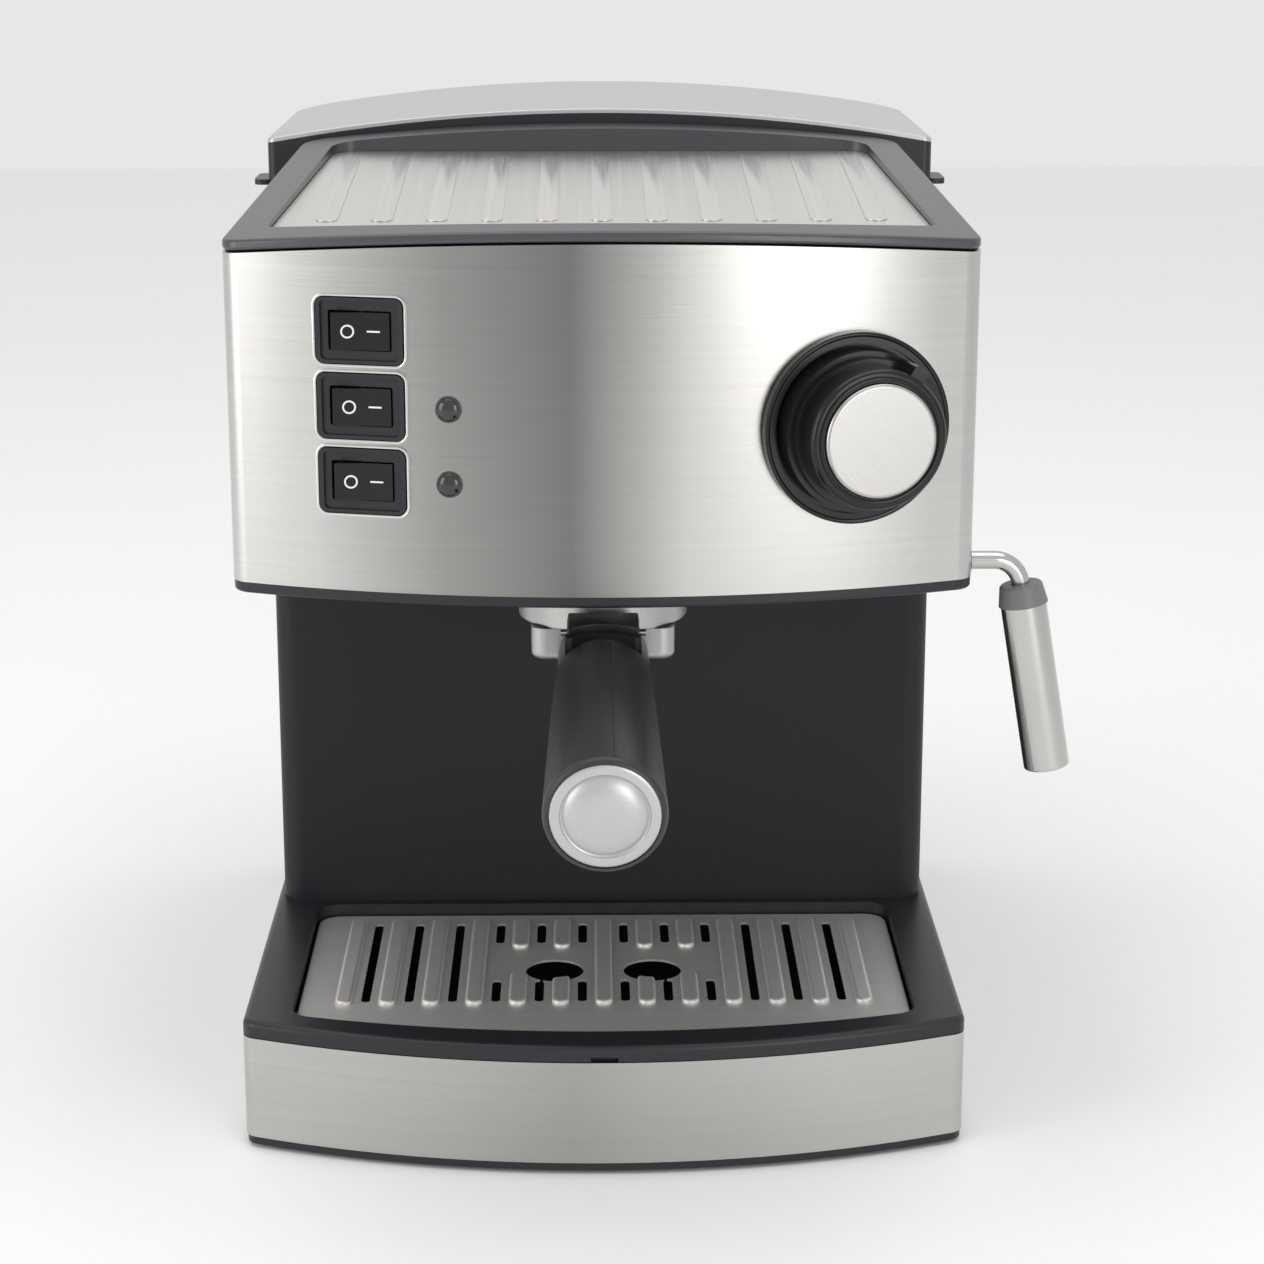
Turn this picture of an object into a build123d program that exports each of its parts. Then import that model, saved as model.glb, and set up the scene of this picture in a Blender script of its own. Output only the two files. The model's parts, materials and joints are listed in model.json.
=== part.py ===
from build123d import *
import math
import os

# Espresso machine with a bowed steel head, a portafilter and a steam wand.
# Millimetres, +Z up, the front faces -Y. The origin is on the counter, under the
# centre line, at the middle of the base's depth.

os.makedirs("parts", exist_ok=True)

# ---- driving dimensions: plan ----
HEAD_HALF = 120.0  # half width of the head at its front corners
HEAD_REAR_HALF = HEAD_HALF - 12
HEAD_REAR = 30.0
BASE_HALF = HEAD_HALF + 2  # half width of the base
BASE_FRONT = -134.0  # front corners of the base
BASE_REAR = 158.0
HEAD_FRONT = BASE_FRONT - 1
FRONT_BOW = 24.0  # how far the front curves out at the centre
COLUMN_HALF = HEAD_HALF - 0.5
COLUMN_FRONT = -18.0
LID_HALF = HEAD_HALF + 2
LID_FRONT = HEAD_REAR + 1.5
LID_REAR = BASE_REAR + 3

# ---- driving dimensions: heights ----
FOOT_H = 1.5
TRIM_TOP = 4.3  # top of the base plate, bottom of the steel band
BAND_TOP = 40.5
RIM_TOP = 46.0
HEAD_BOTTOM = 195.0
PANEL_BOTTOM = 198.7
LIP_TOP = 308.2  # outer edge of the top frame at the front corners
LIP_T = 3.6
TOP_SLOPE = 0.085  # rise of the top per millimetre towards the rear
CROWN = 7.8  # height of the crown over its edge
LID_BOTTOM = 307.0
LID_EDGE = 324.0
LID_CROWN = 10.8

# ---- walls and clearances ----
STEEL_T = 0.8
WALL = 2.5
SPLIT_Y = -9.0  # seam between the splash panel and the rear housing
RETURN_Y = -124.0  # how far the steel front panel wraps round the corners
FIT = 0.3  # gap between pieces that lift or turn past each other
RUN = 0.08  # radial clearance of a running fit

# ---- drip tray and grate ----
TRAY_MARGIN = 16.0  # from the tray to the side of the base
TRAY_HALF = BASE_HALF - TRAY_MARGIN
TRAY_FRONT = BASE_FRONT + 5
TRAY_REAR = -22.0
TRAY_BOW = 16.0
TRAY_CORNER = 9.0
LEDGE = 4.0
LEDGE_TOP = 39.0
TRAY_FLANGE = 2.0
TRAY_BOTTOM = 12.0
GRATE_T = 0.8
GRATE_GAP = 1.0
RIB_PITCH = (TRAY_HALF - GRATE_GAP) / 7
RIB_W = 6.0
RIB_H = 1.5
RIB_FRONT = -111.5
RIB_REAR = -28.5
SLOT_W = 3.2
CUP_HOLE_R = 10.3
CUP_HOLE_X = 17.3
CUP_HOLE_Y = -79.0

# ---- front panel controls ----
SWITCH_X = -75.6
SWITCH_Z = 258.3  # middle switch
SWITCH_PITCH = 23.8
WINDOW_W = 29.1
WINDOW_H = 21.3
ROCKER_W = 18.4
ROCKER_H = 11.8
ROCKER_TILT = 10.0
LAMP_X = -48.1
LAMP_R = 4.0
KNOB_X = 79.0
KNOB_Z = 251.3
BEZEL_R = 30.5
SKIRT_R = 26.0
GRIP_R = 22.0
KNOB_H = 24.0
CAP_R = 18.0
STEM_R = 3.0

# ---- group and portafilter ----
GROUP_Y = -90.0
CUP_R = 28.5
CUP_BOTTOM = 176.0
CUP_TOP = 206.0
CUP_WALL = 2.6
FLANGE_R = CUP_R + 2.5
LUG_R = CUP_R + 5.5
LUG_T = 3.0
LUG_ANGLE = 26.0
LUG_BOTTOM = 201.0
UNLOCK = 45.0  # degrees from locked to the entry slots
RING_R = LUG_R + 4
GASKET_BOTTOM = 207.5
GASKET_T = 5.0
SPOUT_HALF = 24.0
SPOUT_BOTTOM = 165.0
SPOUT_DEPTH = 32.0
SPOUT_BORE = 4.2
SPOUT_X = 16.0
HANDLE_Y = GROUP_Y - CUP_R - 0.5
HANDLE_Z = 168.3
HANDLE_L = 122.0
HANDLE_SLOPE = 7.2  # degrees below level
HANDLE_ROOT_R = 14.9
HANDLE_END_R = 18.7
END_CAP_R = 16.7
CLIP_HALF = 12.0
CLIP_PIVOT = 5.0  # along the handle, from its root
CLIP_HEIGHT = 10.8  # above the handle's axis
CLIP_L = 14.0
PIN_R = 1.2

# ---- steam wand ----
WAND_Y = -117.0
WAND_Z = 200.4
BUSH_R = 4.5
BUSH_IN = HEAD_HALF - 28  # inner end of the wand bushing
BUSH_OUT = HEAD_HALF + 1
PIPE_R = 3.0
WAND_X = HEAD_HALF + 16.5  # where the pipe has turned down
WAND_BEND = 9.0
WAND_LEAN = 9.8  # degrees outwards
SLEEVE_R = 7.6
SLEEVE_L = 57.0
COLLAR_R = 8.2
COLLAR_H = 7.0

# ---- water tank ----
TANK_HALF = COLUMN_HALF - 6.5
TANK_FRONT = 39.0
TANK_REAR = BASE_REAR - 7
FLANGE_REAR = BASE_REAR - 3.6
TANK_BOTTOM = 152.0
TANK_RIM = 305.0
TANK_WALL = 2.2
BAY_TOP = 302.0
SEAT_Y = 96.0
SEAT_R = 9.0
HINGE_Y = BASE_REAR - 2.2
HINGE_Z = 309.5
HINGE_R = 1.5
HINGE_X = 60.0
HINGE_BARREL = 2.3
LID_WALL = 2.0
COVER_T = 1.6
TAB_OUT = 5.4
TAB_L = 22.0
VALVE_R = 5.0
VALVE_STEM_R = 2.0
VALVE_LIFT = 3.0

# ---- works ----
BOILER_R = 37.0
BOILER_SPLIT = 238.0
BOILER_TOP = 276.0
PUMP_R = 17.0
PUMP_L = 74.0
PUMP_Y = 70.0
PUMP_Z = 84.0
HOSE_R = 3.5
FEED_R = 2.5
BORE_R = 7.0  # mains inlet bush bore
INLET_Z = 70.0
INLET_X = 70.0
INLET_L = 14.0

CAVITY_TOP = 36.5
BOW_R = (HEAD_HALF**2 + FRONT_BOW**2) / (2 * FRONT_BOW)
BOW_CENTRE = HEAD_FRONT - FRONT_BOW + BOW_R


def keep(builder, name):
    """Label a finished piece and write it under its node name."""
    builder.part.label = name
    export_step(builder.part, f"parts/{name}.step")


def plan(front_half, rear_half, front, rear, bow, front_r, rear_r, inset=0.0):
    """A four-sided outline with rounded corners, whose front side may be an arc."""
    with BuildSketch() as outline:
        with BuildLine():
            if bow:
                ThreePointArc((-front_half, front), (0, front - bow), (front_half, front))
            else:
                Line((-front_half, front), (front_half, front))
            Polyline((front_half, front), (rear_half, rear), (-rear_half, rear), (-front_half, front))
        make_face()
        if inset:
            offset(amount=-inset, kind=Kind.INTERSECTION)
        fillet(outline.vertices().group_by(Axis.Y)[-1], max(rear_r - inset, 0.6))
        fillet(outline.vertices().group_by(Axis.Y)[0], max(front_r - inset, 0.6))
    return outline.sketch


def base_plan(inset=0.0):
    return plan(BASE_HALF, BASE_HALF, BASE_FRONT, BASE_REAR, FRONT_BOW, 6, 14, inset)


def head_plan(inset=0.0):
    return plan(HEAD_HALF, HEAD_REAR_HALF, HEAD_FRONT, HEAD_REAR, FRONT_BOW, 8, 10, inset)


def tray_plan(inset=0.0):
    return plan(TRAY_HALF, TRAY_HALF, TRAY_FRONT, TRAY_REAR, TRAY_BOW, TRAY_CORNER, TRAY_CORNER, inset)


def column_plan(inset=0.0):
    return plan(COLUMN_HALF, COLUMN_HALF, COLUMN_FRONT, BASE_REAR, 0, 8, 14, inset)


def lid_plan(inset=0.0):
    return plan(LID_HALF, LID_HALF, LID_FRONT, LID_REAR, 0, 3, 16, inset)


def bay_plan(inset=0.0):
    return plan(COLUMN_HALF, COLUMN_HALF, HEAD_REAR + 0.5, BASE_REAR, 0, 2, 14, inset)


def well_plan(inset=0.0):
    """The opening of the top frame, over the cup plate."""
    return plan(HEAD_HALF - 13.5, HEAD_REAR_HALF - 12, HEAD_FRONT + 13, HEAD_REAR - 12, FRONT_BOW, 5, 9, inset)


def arched(half, rise, edge, bottom):
    """A section, level at the bottom, whose arched top is edge high at x = half and rises by rise."""
    radius = (half**2 + rise**2) / (2 * rise)
    with BuildSketch() as section:
        with Locations((0, edge + rise - radius)):
            Circle(radius)
        with Locations((0, bottom + 250)):
            Rectangle(2 * half + 60, 500, mode=Mode.INTERSECT)
    return section.sketch


def under_crown(drop):
    """The space below the head's crowned, sloping top, lowered by drop."""
    slant = math.hypot(1.0, TOP_SLOPE)
    start = HEAD_FRONT - FRONT_BOW - 20
    edge = LIP_TOP - drop + (start - HEAD_FRONT) * TOP_SLOPE
    with BuildPart() as space:
        with BuildSketch(Plane.XZ.offset(-start)):
            add(arched(HEAD_HALF, CROWN, edge, 60))
        extrude(amount=300 * slant, dir=(0, 1 / slant, TOP_SLOPE / slant))
    return space.part


def plate_plane(drop):
    """The sloping plane through the top frame's outer corners, lowered by drop."""
    return Plane(
        origin=(0, HEAD_FRONT, LIP_TOP - drop), x_dir=(1, 0, 0), z_dir=(0, -TOP_SLOPE, 1)
    )


def panel_plane(x, z, out=0.0):
    """A plane on the bowed front panel: its x to the right, its y up, its z outwards."""
    angle = math.asin(x / BOW_R)
    outward = (math.sin(angle), -math.cos(angle), 0)
    origin = (x + outward[0] * out, BOW_CENTRE - BOW_R * math.cos(angle) + outward[1] * out, z)
    return Plane(origin=origin, x_dir=(math.cos(angle), math.sin(angle), 0), z_dir=outward)


def group_plane(z, turn=0.0):
    """A level plane on the group's axis, turned about it."""
    return Plane(origin=(0, GROUP_Y, z)).rotated((0, 0, turn))


VALVE_IN = 44.0  # depth of the steam valve's back behind the panel
valve_middle = panel_plane(KNOB_X, KNOB_Z, -(VALVE_IN + 16) / 2).origin
SWITCHES = {
    "power": SWITCH_Z + SWITCH_PITCH,
    "brew": SWITCH_Z,
    "steam": SWITCH_Z - SWITCH_PITCH,
}
LAMPS = [SWITCH_Z, SWITCH_Z - SWITCH_PITCH]
FEET = [(-98, -112), (98, -112), (-98, 128), (98, 128)]
SCREWS = [(-80, -112), (80, -112), (-80, 128), (80, 128)]
HANDLE_DIR = (0, -math.cos(math.radians(HANDLE_SLOPE)), -math.sin(math.radians(HANDLE_SLOPE)))
HANDLE_PLANE = Plane(origin=(0, HANDLE_Y, HANDLE_Z), x_dir=(1, 0, 0), z_dir=HANDLE_DIR)

# ======================= base =======================
with BuildPart() as base_plate:
    with BuildSketch(Plane.XY.offset(FOOT_H)):
        add(base_plan(0.5))
    extrude(amount=TRIM_TOP - FOOT_H)
    with BuildSketch(Plane.XY.offset(FOOT_H)):
        with Locations(*FEET):
            Circle(9)
    extrude(amount=1.2, mode=Mode.SUBTRACT)
    with BuildSketch(Plane.XY.offset(FOOT_H)):
        with Locations(*SCREWS):
            Circle(3.2)
    extrude(amount=TRIM_TOP, mode=Mode.SUBTRACT)
keep(base_plate, "base_plate")

with BuildPart() as rubber_feet:
    with BuildSketch(Plane.XY):
        with Locations(*FEET):
            Circle(8.8)
    extrude(amount=FOOT_H + 1.2)
    chamfer(rubber_feet.edges().group_by(Axis.Z)[0], 0.6)
keep(rubber_feet, "rubber_feet")

with BuildPart() as base_housing:
    with BuildSketch(Plane.XY.offset(TRIM_TOP)):
        add(base_plan(STEEL_T))
    extrude(amount=BAND_TOP - TRIM_TOP)
    with BuildSketch(Plane.XY.offset(BAND_TOP)):
        add(base_plan())
    extrude(amount=RIM_TOP - BAND_TOP)
    fillet(base_housing.edges().group_by(Axis.Z)[-1], 2.2)
    with BuildSketch(Plane.XY.offset(TRIM_TOP)):
        add(base_plan(STEEL_T + WALL))
    extrude(amount=CAVITY_TOP - TRIM_TOP, mode=Mode.SUBTRACT)
    with BuildSketch(Plane.XY.offset(LEDGE_TOP)):
        add(tray_plan())
    extrude(amount=RIM_TOP, mode=Mode.SUBTRACT)
    with BuildSketch(Plane.XY.offset(CAVITY_TOP)):
        add(tray_plan(LEDGE))
    extrude(amount=RIM_TOP, mode=Mode.SUBTRACT)
    with BuildSketch(Plane.XY.offset(CAVITY_TOP)):
        with Locations((0, (COLUMN_FRONT + BASE_REAR) / 2)):
            RectangleRounded(2 * COLUMN_HALF - 24, BASE_REAR - COLUMN_FRONT - 24, 6)
    extrude(amount=RIM_TOP, mode=Mode.SUBTRACT)
    with BuildSketch(Plane.XY.offset(BAND_TOP - 1.5)):
        with Locations((0, BASE_FRONT - FRONT_BOW)):
            RectangleRounded(9, 5, 1)
    extrude(amount=3, mode=Mode.SUBTRACT)
keep(base_housing, "base_housing")

with BuildPart() as base_band:
    with BuildSketch(Plane.XY.offset(TRIM_TOP)):
        add(base_plan())
        add(base_plan(STEEL_T), mode=Mode.SUBTRACT)
        with Locations((0, BASE_REAR)):
            Rectangle(3 * BASE_HALF, 60, mode=Mode.SUBTRACT)
    extrude(amount=BAND_TOP - TRIM_TOP - 0.4)
keep(base_band, "base_band")

with BuildPart() as drip_tray:
    with BuildSketch(Plane.XY.offset(LEDGE_TOP)):
        add(tray_plan(FIT + 0.2))
    extrude(amount=TRAY_FLANGE)
    with BuildSketch(Plane.XY.offset(TRAY_BOTTOM)):
        add(tray_plan(LEDGE + 0.6))
    extrude(amount=LEDGE_TOP - TRAY_BOTTOM)
    with BuildSketch(Plane.XY.offset(TRAY_BOTTOM + 2)):
        add(tray_plan(LEDGE + 2.6))
    extrude(amount=LEDGE_TOP, mode=Mode.SUBTRACT)
    fillet(drip_tray.edges().group_by(Axis.Z)[0], 3)
keep(drip_tray, "drip_tray")

GRATE_Z = LEDGE_TOP + TRAY_FLANGE
RIB_LEN = RIB_REAR - RIB_FRONT
RIB_MID = (RIB_REAR + RIB_FRONT) / 2
SHORT_RIB = 0.35 * RIB_LEN
with BuildPart() as drip_grate:
    with BuildSketch(Plane.XY.offset(GRATE_Z)):
        add(tray_plan(GRATE_GAP))
    extrude(amount=GRATE_T)
    fillet(drip_grate.edges().group_by(Axis.Z)[-1], 0.5)
    with BuildSketch(Plane.XY.offset(GRATE_Z + GRATE_T)):
        with Locations(*[(i * RIB_PITCH, RIB_MID) for i in (-6, -5, -4, -3, 0, 3, 4, 5, 6)]):
            SlotOverall(RIB_LEN, RIB_W, rotation=90)
        for y in (RIB_FRONT + SHORT_RIB / 2, RIB_REAR - SHORT_RIB / 2):
            with Locations(*[(i * RIB_PITCH, y) for i in (-2, -1, 1, 2)]):
                SlotOverall(SHORT_RIB, RIB_W, rotation=90)
    extrude(amount=RIB_H)
    fillet(drip_grate.edges().group_by(Axis.Z)[-1], RIB_H * 0.85)
    with BuildSketch(Plane.XY.offset(GRATE_Z)):
        with Locations(*[((i + 0.5) * RIB_PITCH, RIB_MID) for i in (-6, -5, -4, 3, 4, 5)]):
            SlotOverall(RIB_LEN - 7, SLOT_W, rotation=90)
        for y in (RIB_FRONT + SHORT_RIB / 2 - 1, RIB_REAR - SHORT_RIB / 2 + 1):
            with Locations(*[((i + 0.5) * RIB_PITCH, y) for i in (-3, -2, -1, 0, 1, 2)]):
                SlotOverall(20, SLOT_W, rotation=90)
        with Locations((-CUP_HOLE_X, CUP_HOLE_Y), (CUP_HOLE_X, CUP_HOLE_Y)):
            Circle(CUP_HOLE_R)
    extrude(amount=RIB_H + GRATE_T, mode=Mode.SUBTRACT)
keep(drip_grate, "drip_grate")

# ======================= column and tank bay =======================
with BuildPart() as splash_panel:
    with BuildSketch(Plane.XY.offset(RIM_TOP)):
        add(column_plan())
        add(column_plan(WALL), mode=Mode.SUBTRACT)
        with Locations((0, SPLIT_Y + 200)):
            Rectangle(3 * COLUMN_HALF, 400, mode=Mode.SUBTRACT)
    extrude(amount=HEAD_BOTTOM - RIM_TOP)
keep(splash_panel, "splash_panel")

SHELF_Z = TANK_BOTTOM - 5.0
with BuildPart() as rear_housing:
    with BuildSketch(Plane.XY.offset(RIM_TOP)):
        add(column_plan())
    extrude(amount=HEAD_BOTTOM - RIM_TOP)
    with BuildSketch(Plane.XY.offset(HEAD_BOTTOM)):
        add(bay_plan())
    extrude(amount=BAY_TOP - HEAD_BOTTOM)
    with BuildSketch(Plane.XY.offset(RIM_TOP)):
        add(column_plan(WALL))
    extrude(amount=SHELF_Z - RIM_TOP, mode=Mode.SUBTRACT)
    with BuildSketch(Plane.XY.offset(SHELF_Z)):
        add(plan(COLUMN_HALF, COLUMN_HALF, COLUMN_FRONT, HEAD_REAR, 0, 8, 2, WALL))
    extrude(amount=HEAD_BOTTOM - WALL - SHELF_Z, mode=Mode.SUBTRACT)
    with BuildSketch(Plane.XY.offset(HEAD_BOTTOM - WALL)):
        with Locations((0, (SPLIT_Y + HEAD_REAR) / 2)):
            RectangleRounded(190, HEAD_REAR - SPLIT_Y - 10, 4)
    extrude(amount=WALL, mode=Mode.SUBTRACT)
    with BuildSketch(Plane.XY.offset(SHELF_Z + WALL)):
        add(bay_plan(WALL))
    extrude(amount=BAY_TOP, mode=Mode.SUBTRACT)
    with BuildSketch(Plane.XY.offset(SHELF_Z)):
        with Locations((0, SEAT_Y)):
            Circle(SEAT_R)
    extrude(amount=WALL, mode=Mode.SUBTRACT)
    with BuildSketch(Plane.XY.offset(RIM_TOP)):
        with Locations((0, SPLIT_Y - 100)):
            Rectangle(3 * COLUMN_HALF, 200)
    extrude(amount=HEAD_BOTTOM - RIM_TOP, mode=Mode.SUBTRACT)
    with BuildSketch(Plane.XZ.offset(-BASE_REAR)):
        with Locations((INLET_X, INLET_Z)):
            Circle(BORE_R + 3)
    extrude(amount=20, both=True, mode=Mode.SUBTRACT)
    with BuildSketch(Plane.XZ.offset(-BASE_REAR)):
        with GridLocations(12, 0, 9, 1):
            with Locations((0, 110)):
                SlotOverall(36, 4, rotation=90)
    extrude(amount=6, both=True, mode=Mode.SUBTRACT)
keep(rear_housing, "rear_housing")

with BuildPart() as cord_inlet:
    with BuildSketch(Plane.XZ.offset(-BASE_REAR)):
        with Locations((INLET_X, INLET_Z)):
            Circle(BORE_R + 5.5)
    extrude(amount=-2.2)
    with BuildSketch(Plane.XZ.offset(-BASE_REAR)):
        with Locations((INLET_X, INLET_Z)):
            Circle(BORE_R + 3)
    extrude(amount=INLET_L - 2.2)
    fillet(cord_inlet.edges().group_by(Axis.Y)[-1], 0.8)
    with BuildSketch(Plane.XZ.offset(-BASE_REAR)):
        with Locations((INLET_X, INLET_Z)):
            Circle(BORE_R)
    extrude(amount=INLET_L, both=True, mode=Mode.SUBTRACT)
keep(cord_inlet, "cord_inlet")

# ======================= head =======================
with BuildPart() as head_floor:
    with BuildSketch(Plane.XY.offset(HEAD_BOTTOM)):
        add(head_plan(0.2))
        with Locations((0, GROUP_Y)):
            Circle(RING_R + FIT, mode=Mode.SUBTRACT)
        with Locations((0, (SPLIT_Y + HEAD_REAR) / 2)):
            RectangleRounded(190, HEAD_REAR - SPLIT_Y - 10, 4, mode=Mode.SUBTRACT)
    extrude(amount=PANEL_BOTTOM - HEAD_BOTTOM)
    fillet(head_floor.edges().group_by(Axis.Z)[0].sort_by(Axis.Y)[0], 1.2)
    with BuildSketch(Plane.YZ.offset(valve_middle.X - BUSH_R)):
        with Locations((WAND_Y, WAND_Z)):
            Circle(BUSH_R)
    extrude(amount=BUSH_OUT, mode=Mode.SUBTRACT)
keep(head_floor, "head_floor")

with BuildPart() as head_shell:
    with BuildSketch(Plane.XY.offset(PANEL_BOTTOM)):
        add(head_plan())
        add(head_plan(STEEL_T + WALL), mode=Mode.SUBTRACT)
    extrude(amount=200)
    with BuildSketch(Plane.XY.offset(PANEL_BOTTOM)):
        add(head_plan())
        add(head_plan(STEEL_T), mode=Mode.SUBTRACT)
        with Locations((0, RETURN_Y + 300)):
            Rectangle(800, 600, mode=Mode.SUBTRACT)
    extrude(amount=200, mode=Mode.SUBTRACT)
    add(under_crown(LIP_T + 0.4), mode=Mode.INTERSECT)
    for z in SWITCHES.values():
        with BuildSketch(panel_plane(SWITCH_X, z)):
            RectangleRounded(WINDOW_W - 3, WINDOW_H - 2, 2)
        extrude(amount=8, both=True, mode=Mode.SUBTRACT)
    for z in LAMPS:
        with BuildSketch(panel_plane(LAMP_X, z)):
            Circle(LAMP_R)
        extrude(amount=8, both=True, mode=Mode.SUBTRACT)
    with BuildSketch(panel_plane(KNOB_X, KNOB_Z)):
        Circle(9)
    extrude(amount=10, both=True, mode=Mode.SUBTRACT)
    with BuildSketch(Plane.YZ.offset(HEAD_HALF)):
        with Locations((WAND_Y, WAND_Z)):
                Circle(BUSH_R)
    extrude(amount=8, both=True, mode=Mode.SUBTRACT)
keep(head_shell, "head_shell")

with BuildPart() as front_panel:
    with BuildSketch(Plane.XY.offset(PANEL_BOTTOM)):
        add(head_plan())
        add(head_plan(STEEL_T), mode=Mode.SUBTRACT)
        with Locations((0, RETURN_Y + 300)):
            Rectangle(800, 600, mode=Mode.SUBTRACT)
    extrude(amount=200)
    add(under_crown(LIP_T + 0.4), mode=Mode.INTERSECT)
    for z in SWITCHES.values():
        with BuildSketch(panel_plane(SWITCH_X, z)):
            RectangleRounded(WINDOW_W, WINDOW_H, 3)
        extrude(amount=4, both=True, mode=Mode.SUBTRACT)
    for z in LAMPS:
        with BuildSketch(panel_plane(LAMP_X, z)):
            Circle(LAMP_R)
        extrude(amount=4, both=True, mode=Mode.SUBTRACT)
    with BuildSketch(panel_plane(KNOB_X, KNOB_Z)):
        Circle(9)
    extrude(amount=6, both=True, mode=Mode.SUBTRACT)
keep(front_panel, "front_panel")

PLATE_T = 0.8
PLATE_DROP = 0.3  # the cup plate's top, under the frame's corners
with BuildPart() as top_frame:
    with BuildSketch(Plane.XY.offset(PANEL_BOTTOM)):
        add(head_plan())
    extrude(amount=200)
    add(under_crown(0), mode=Mode.INTERSECT)
    add(under_crown(LIP_T), mode=Mode.SUBTRACT)
    fillet(top_frame.edges().filter_by(lambda e: e.length > 150).sort_by(Axis.Z)[-4:], 1.2)
    with BuildSketch(plate_plane(PLATE_DROP + PLATE_T)):
        add(well_plan(-2.2).moved(Location((0, -HEAD_FRONT, 0))))
    extrude(amount=-2.4)
    with BuildSketch(plate_plane(PLATE_DROP + PLATE_T + 2.4)):
        add(well_plan(-2.2).moved(Location((0, -HEAD_FRONT, 0))))
        add(well_plan(0).moved(Location((0, -HEAD_FRONT, 0))), mode=Mode.SUBTRACT)
    extrude(amount=11)
    with BuildSketch(plate_plane(PLATE_DROP + PLATE_T)):
        add(well_plan(0).moved(Location((0, -HEAD_FRONT, 0))))
    extrude(amount=30, mode=Mode.SUBTRACT)
    with BuildSketch(plate_plane(PLATE_DROP + PLATE_T + 10)):
        add(well_plan(8).moved(Location((0, -HEAD_FRONT, 0))))
    extrude(amount=30, mode=Mode.SUBTRACT)
    add(under_crown(0), mode=Mode.INTERSECT)
keep(top_frame, "top_frame")

with BuildPart() as cup_plate:
    with BuildSketch(plate_plane(PLATE_DROP + PLATE_T)):
        add(well_plan(0.25).moved(Location((0, -HEAD_FRONT, 0))))
    extrude(amount=PLATE_T)
keep(cup_plate, "cup_plate")

# ======================= switches and lamps =======================
with BuildPart() as switch_bodies:
    for z in SWITCHES.values():
        with BuildSketch(panel_plane(SWITCH_X, z, 0.7)):
            RectangleRounded(WINDOW_W - 0.6, WINDOW_H - 0.6, 2.6)
        extrude(amount=-1.45)
        with BuildSketch(panel_plane(SWITCH_X, z, -0.75)):
            RectangleRounded(WINDOW_W - 3.6, WINDOW_H - 2.6, 2)
        extrude(amount=-20)
        with BuildSketch(panel_plane(SWITCH_X, z, 0.7)):
            RectangleRounded(25.4, 18.5, 1.5)
        extrude(amount=-0.9, mode=Mode.SUBTRACT)
        with BuildSketch(panel_plane(SWITCH_X, z, 0.7)):
            RectangleRounded(ROCKER_W + 2.2, ROCKER_H + 0.8, 0.6)
        extrude(amount=-16, mode=Mode.SUBTRACT)
        with BuildSketch(Plane.XY.offset(z - ROCKER_H / 2 - 1.6)):
            with Locations(panel_plane(SWITCH_X, 0, -3.0).origin):
                Circle(1.2 + RUN)
        extrude(amount=ROCKER_H + 3.2, mode=Mode.SUBTRACT)
keep(switch_bodies, "switch_bodies")

for name, z in SWITCHES.items():
    pivot = panel_plane(SWITCH_X, z - ROCKER_H / 2, -3.0)
    turned = Plane(origin=pivot.origin, x_dir=pivot.x_dir, z_dir=(0, 0, 1)).rotated((0, 0, ROCKER_TILT))
    with BuildPart() as rocker:
        with BuildSketch(turned):
            with BuildLine():
                Polyline(
                    (-ROCKER_W / 2, -5.2), (0, -3.8), (ROCKER_W / 2, -5.2),
                    (ROCKER_W / 2 - 1.6, 2.0), (0, 5.0), (-ROCKER_W / 2 + 1.6, 2.0),
                    (-ROCKER_W / 2, -5.2),
                )
            make_face()
        extrude(amount=ROCKER_H)
        with BuildSketch(Plane.XY.offset(z - ROCKER_H / 2 - 1.3)):
            with Locations(pivot.origin):
                Circle(1.2)
        extrude(amount=ROCKER_H + 2.6)
    keep(rocker, f"rocker_{name}")

with BuildPart() as lamp_lenses:
    for z in LAMPS:
        with BuildSketch(panel_plane(LAMP_X, z, -6)):
            Circle(LAMP_R)
        extrude(amount=6.4)
        with BuildSketch(panel_plane(LAMP_X, z, 0.4)):
            Circle(LAMP_R)
        extrude(amount=1.3, taper=35)
keep(lamp_lenses, "lamp_lenses")

# ======================= steam knob =======================
with BuildPart() as knob_bezel:
    with BuildSketch(panel_plane(KNOB_X, KNOB_Z, -0.2)):
        Circle(9)
    extrude(amount=-5)
    with BuildSketch(panel_plane(KNOB_X, KNOB_Z, 0.4)):
        Circle(BEZEL_R)
        Circle(SKIRT_R + 1.2, mode=Mode.SUBTRACT)
    extrude(amount=3.0)
    with BuildSketch(panel_plane(KNOB_X, KNOB_Z, -0.2)):
        Circle(SKIRT_R + 2)
    extrude(amount=1.4)
    with BuildSketch(panel_plane(KNOB_X, KNOB_Z, -8)):
        Circle(STEM_R + RUN)
    extrude(amount=20, mode=Mode.SUBTRACT)
    with BuildSketch(Plane.XY.offset(KNOB_Z - 40)):
        add(head_plan())
    extrude(amount=80, mode=Mode.SUBTRACT)
    with BuildSketch(panel_plane(KNOB_X, KNOB_Z, 1.0)):
        Circle(9)
        Circle(STEM_R + RUN, mode=Mode.SUBTRACT)
    extrude(amount=-7)
keep(knob_bezel, "knob_bezel")

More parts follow.
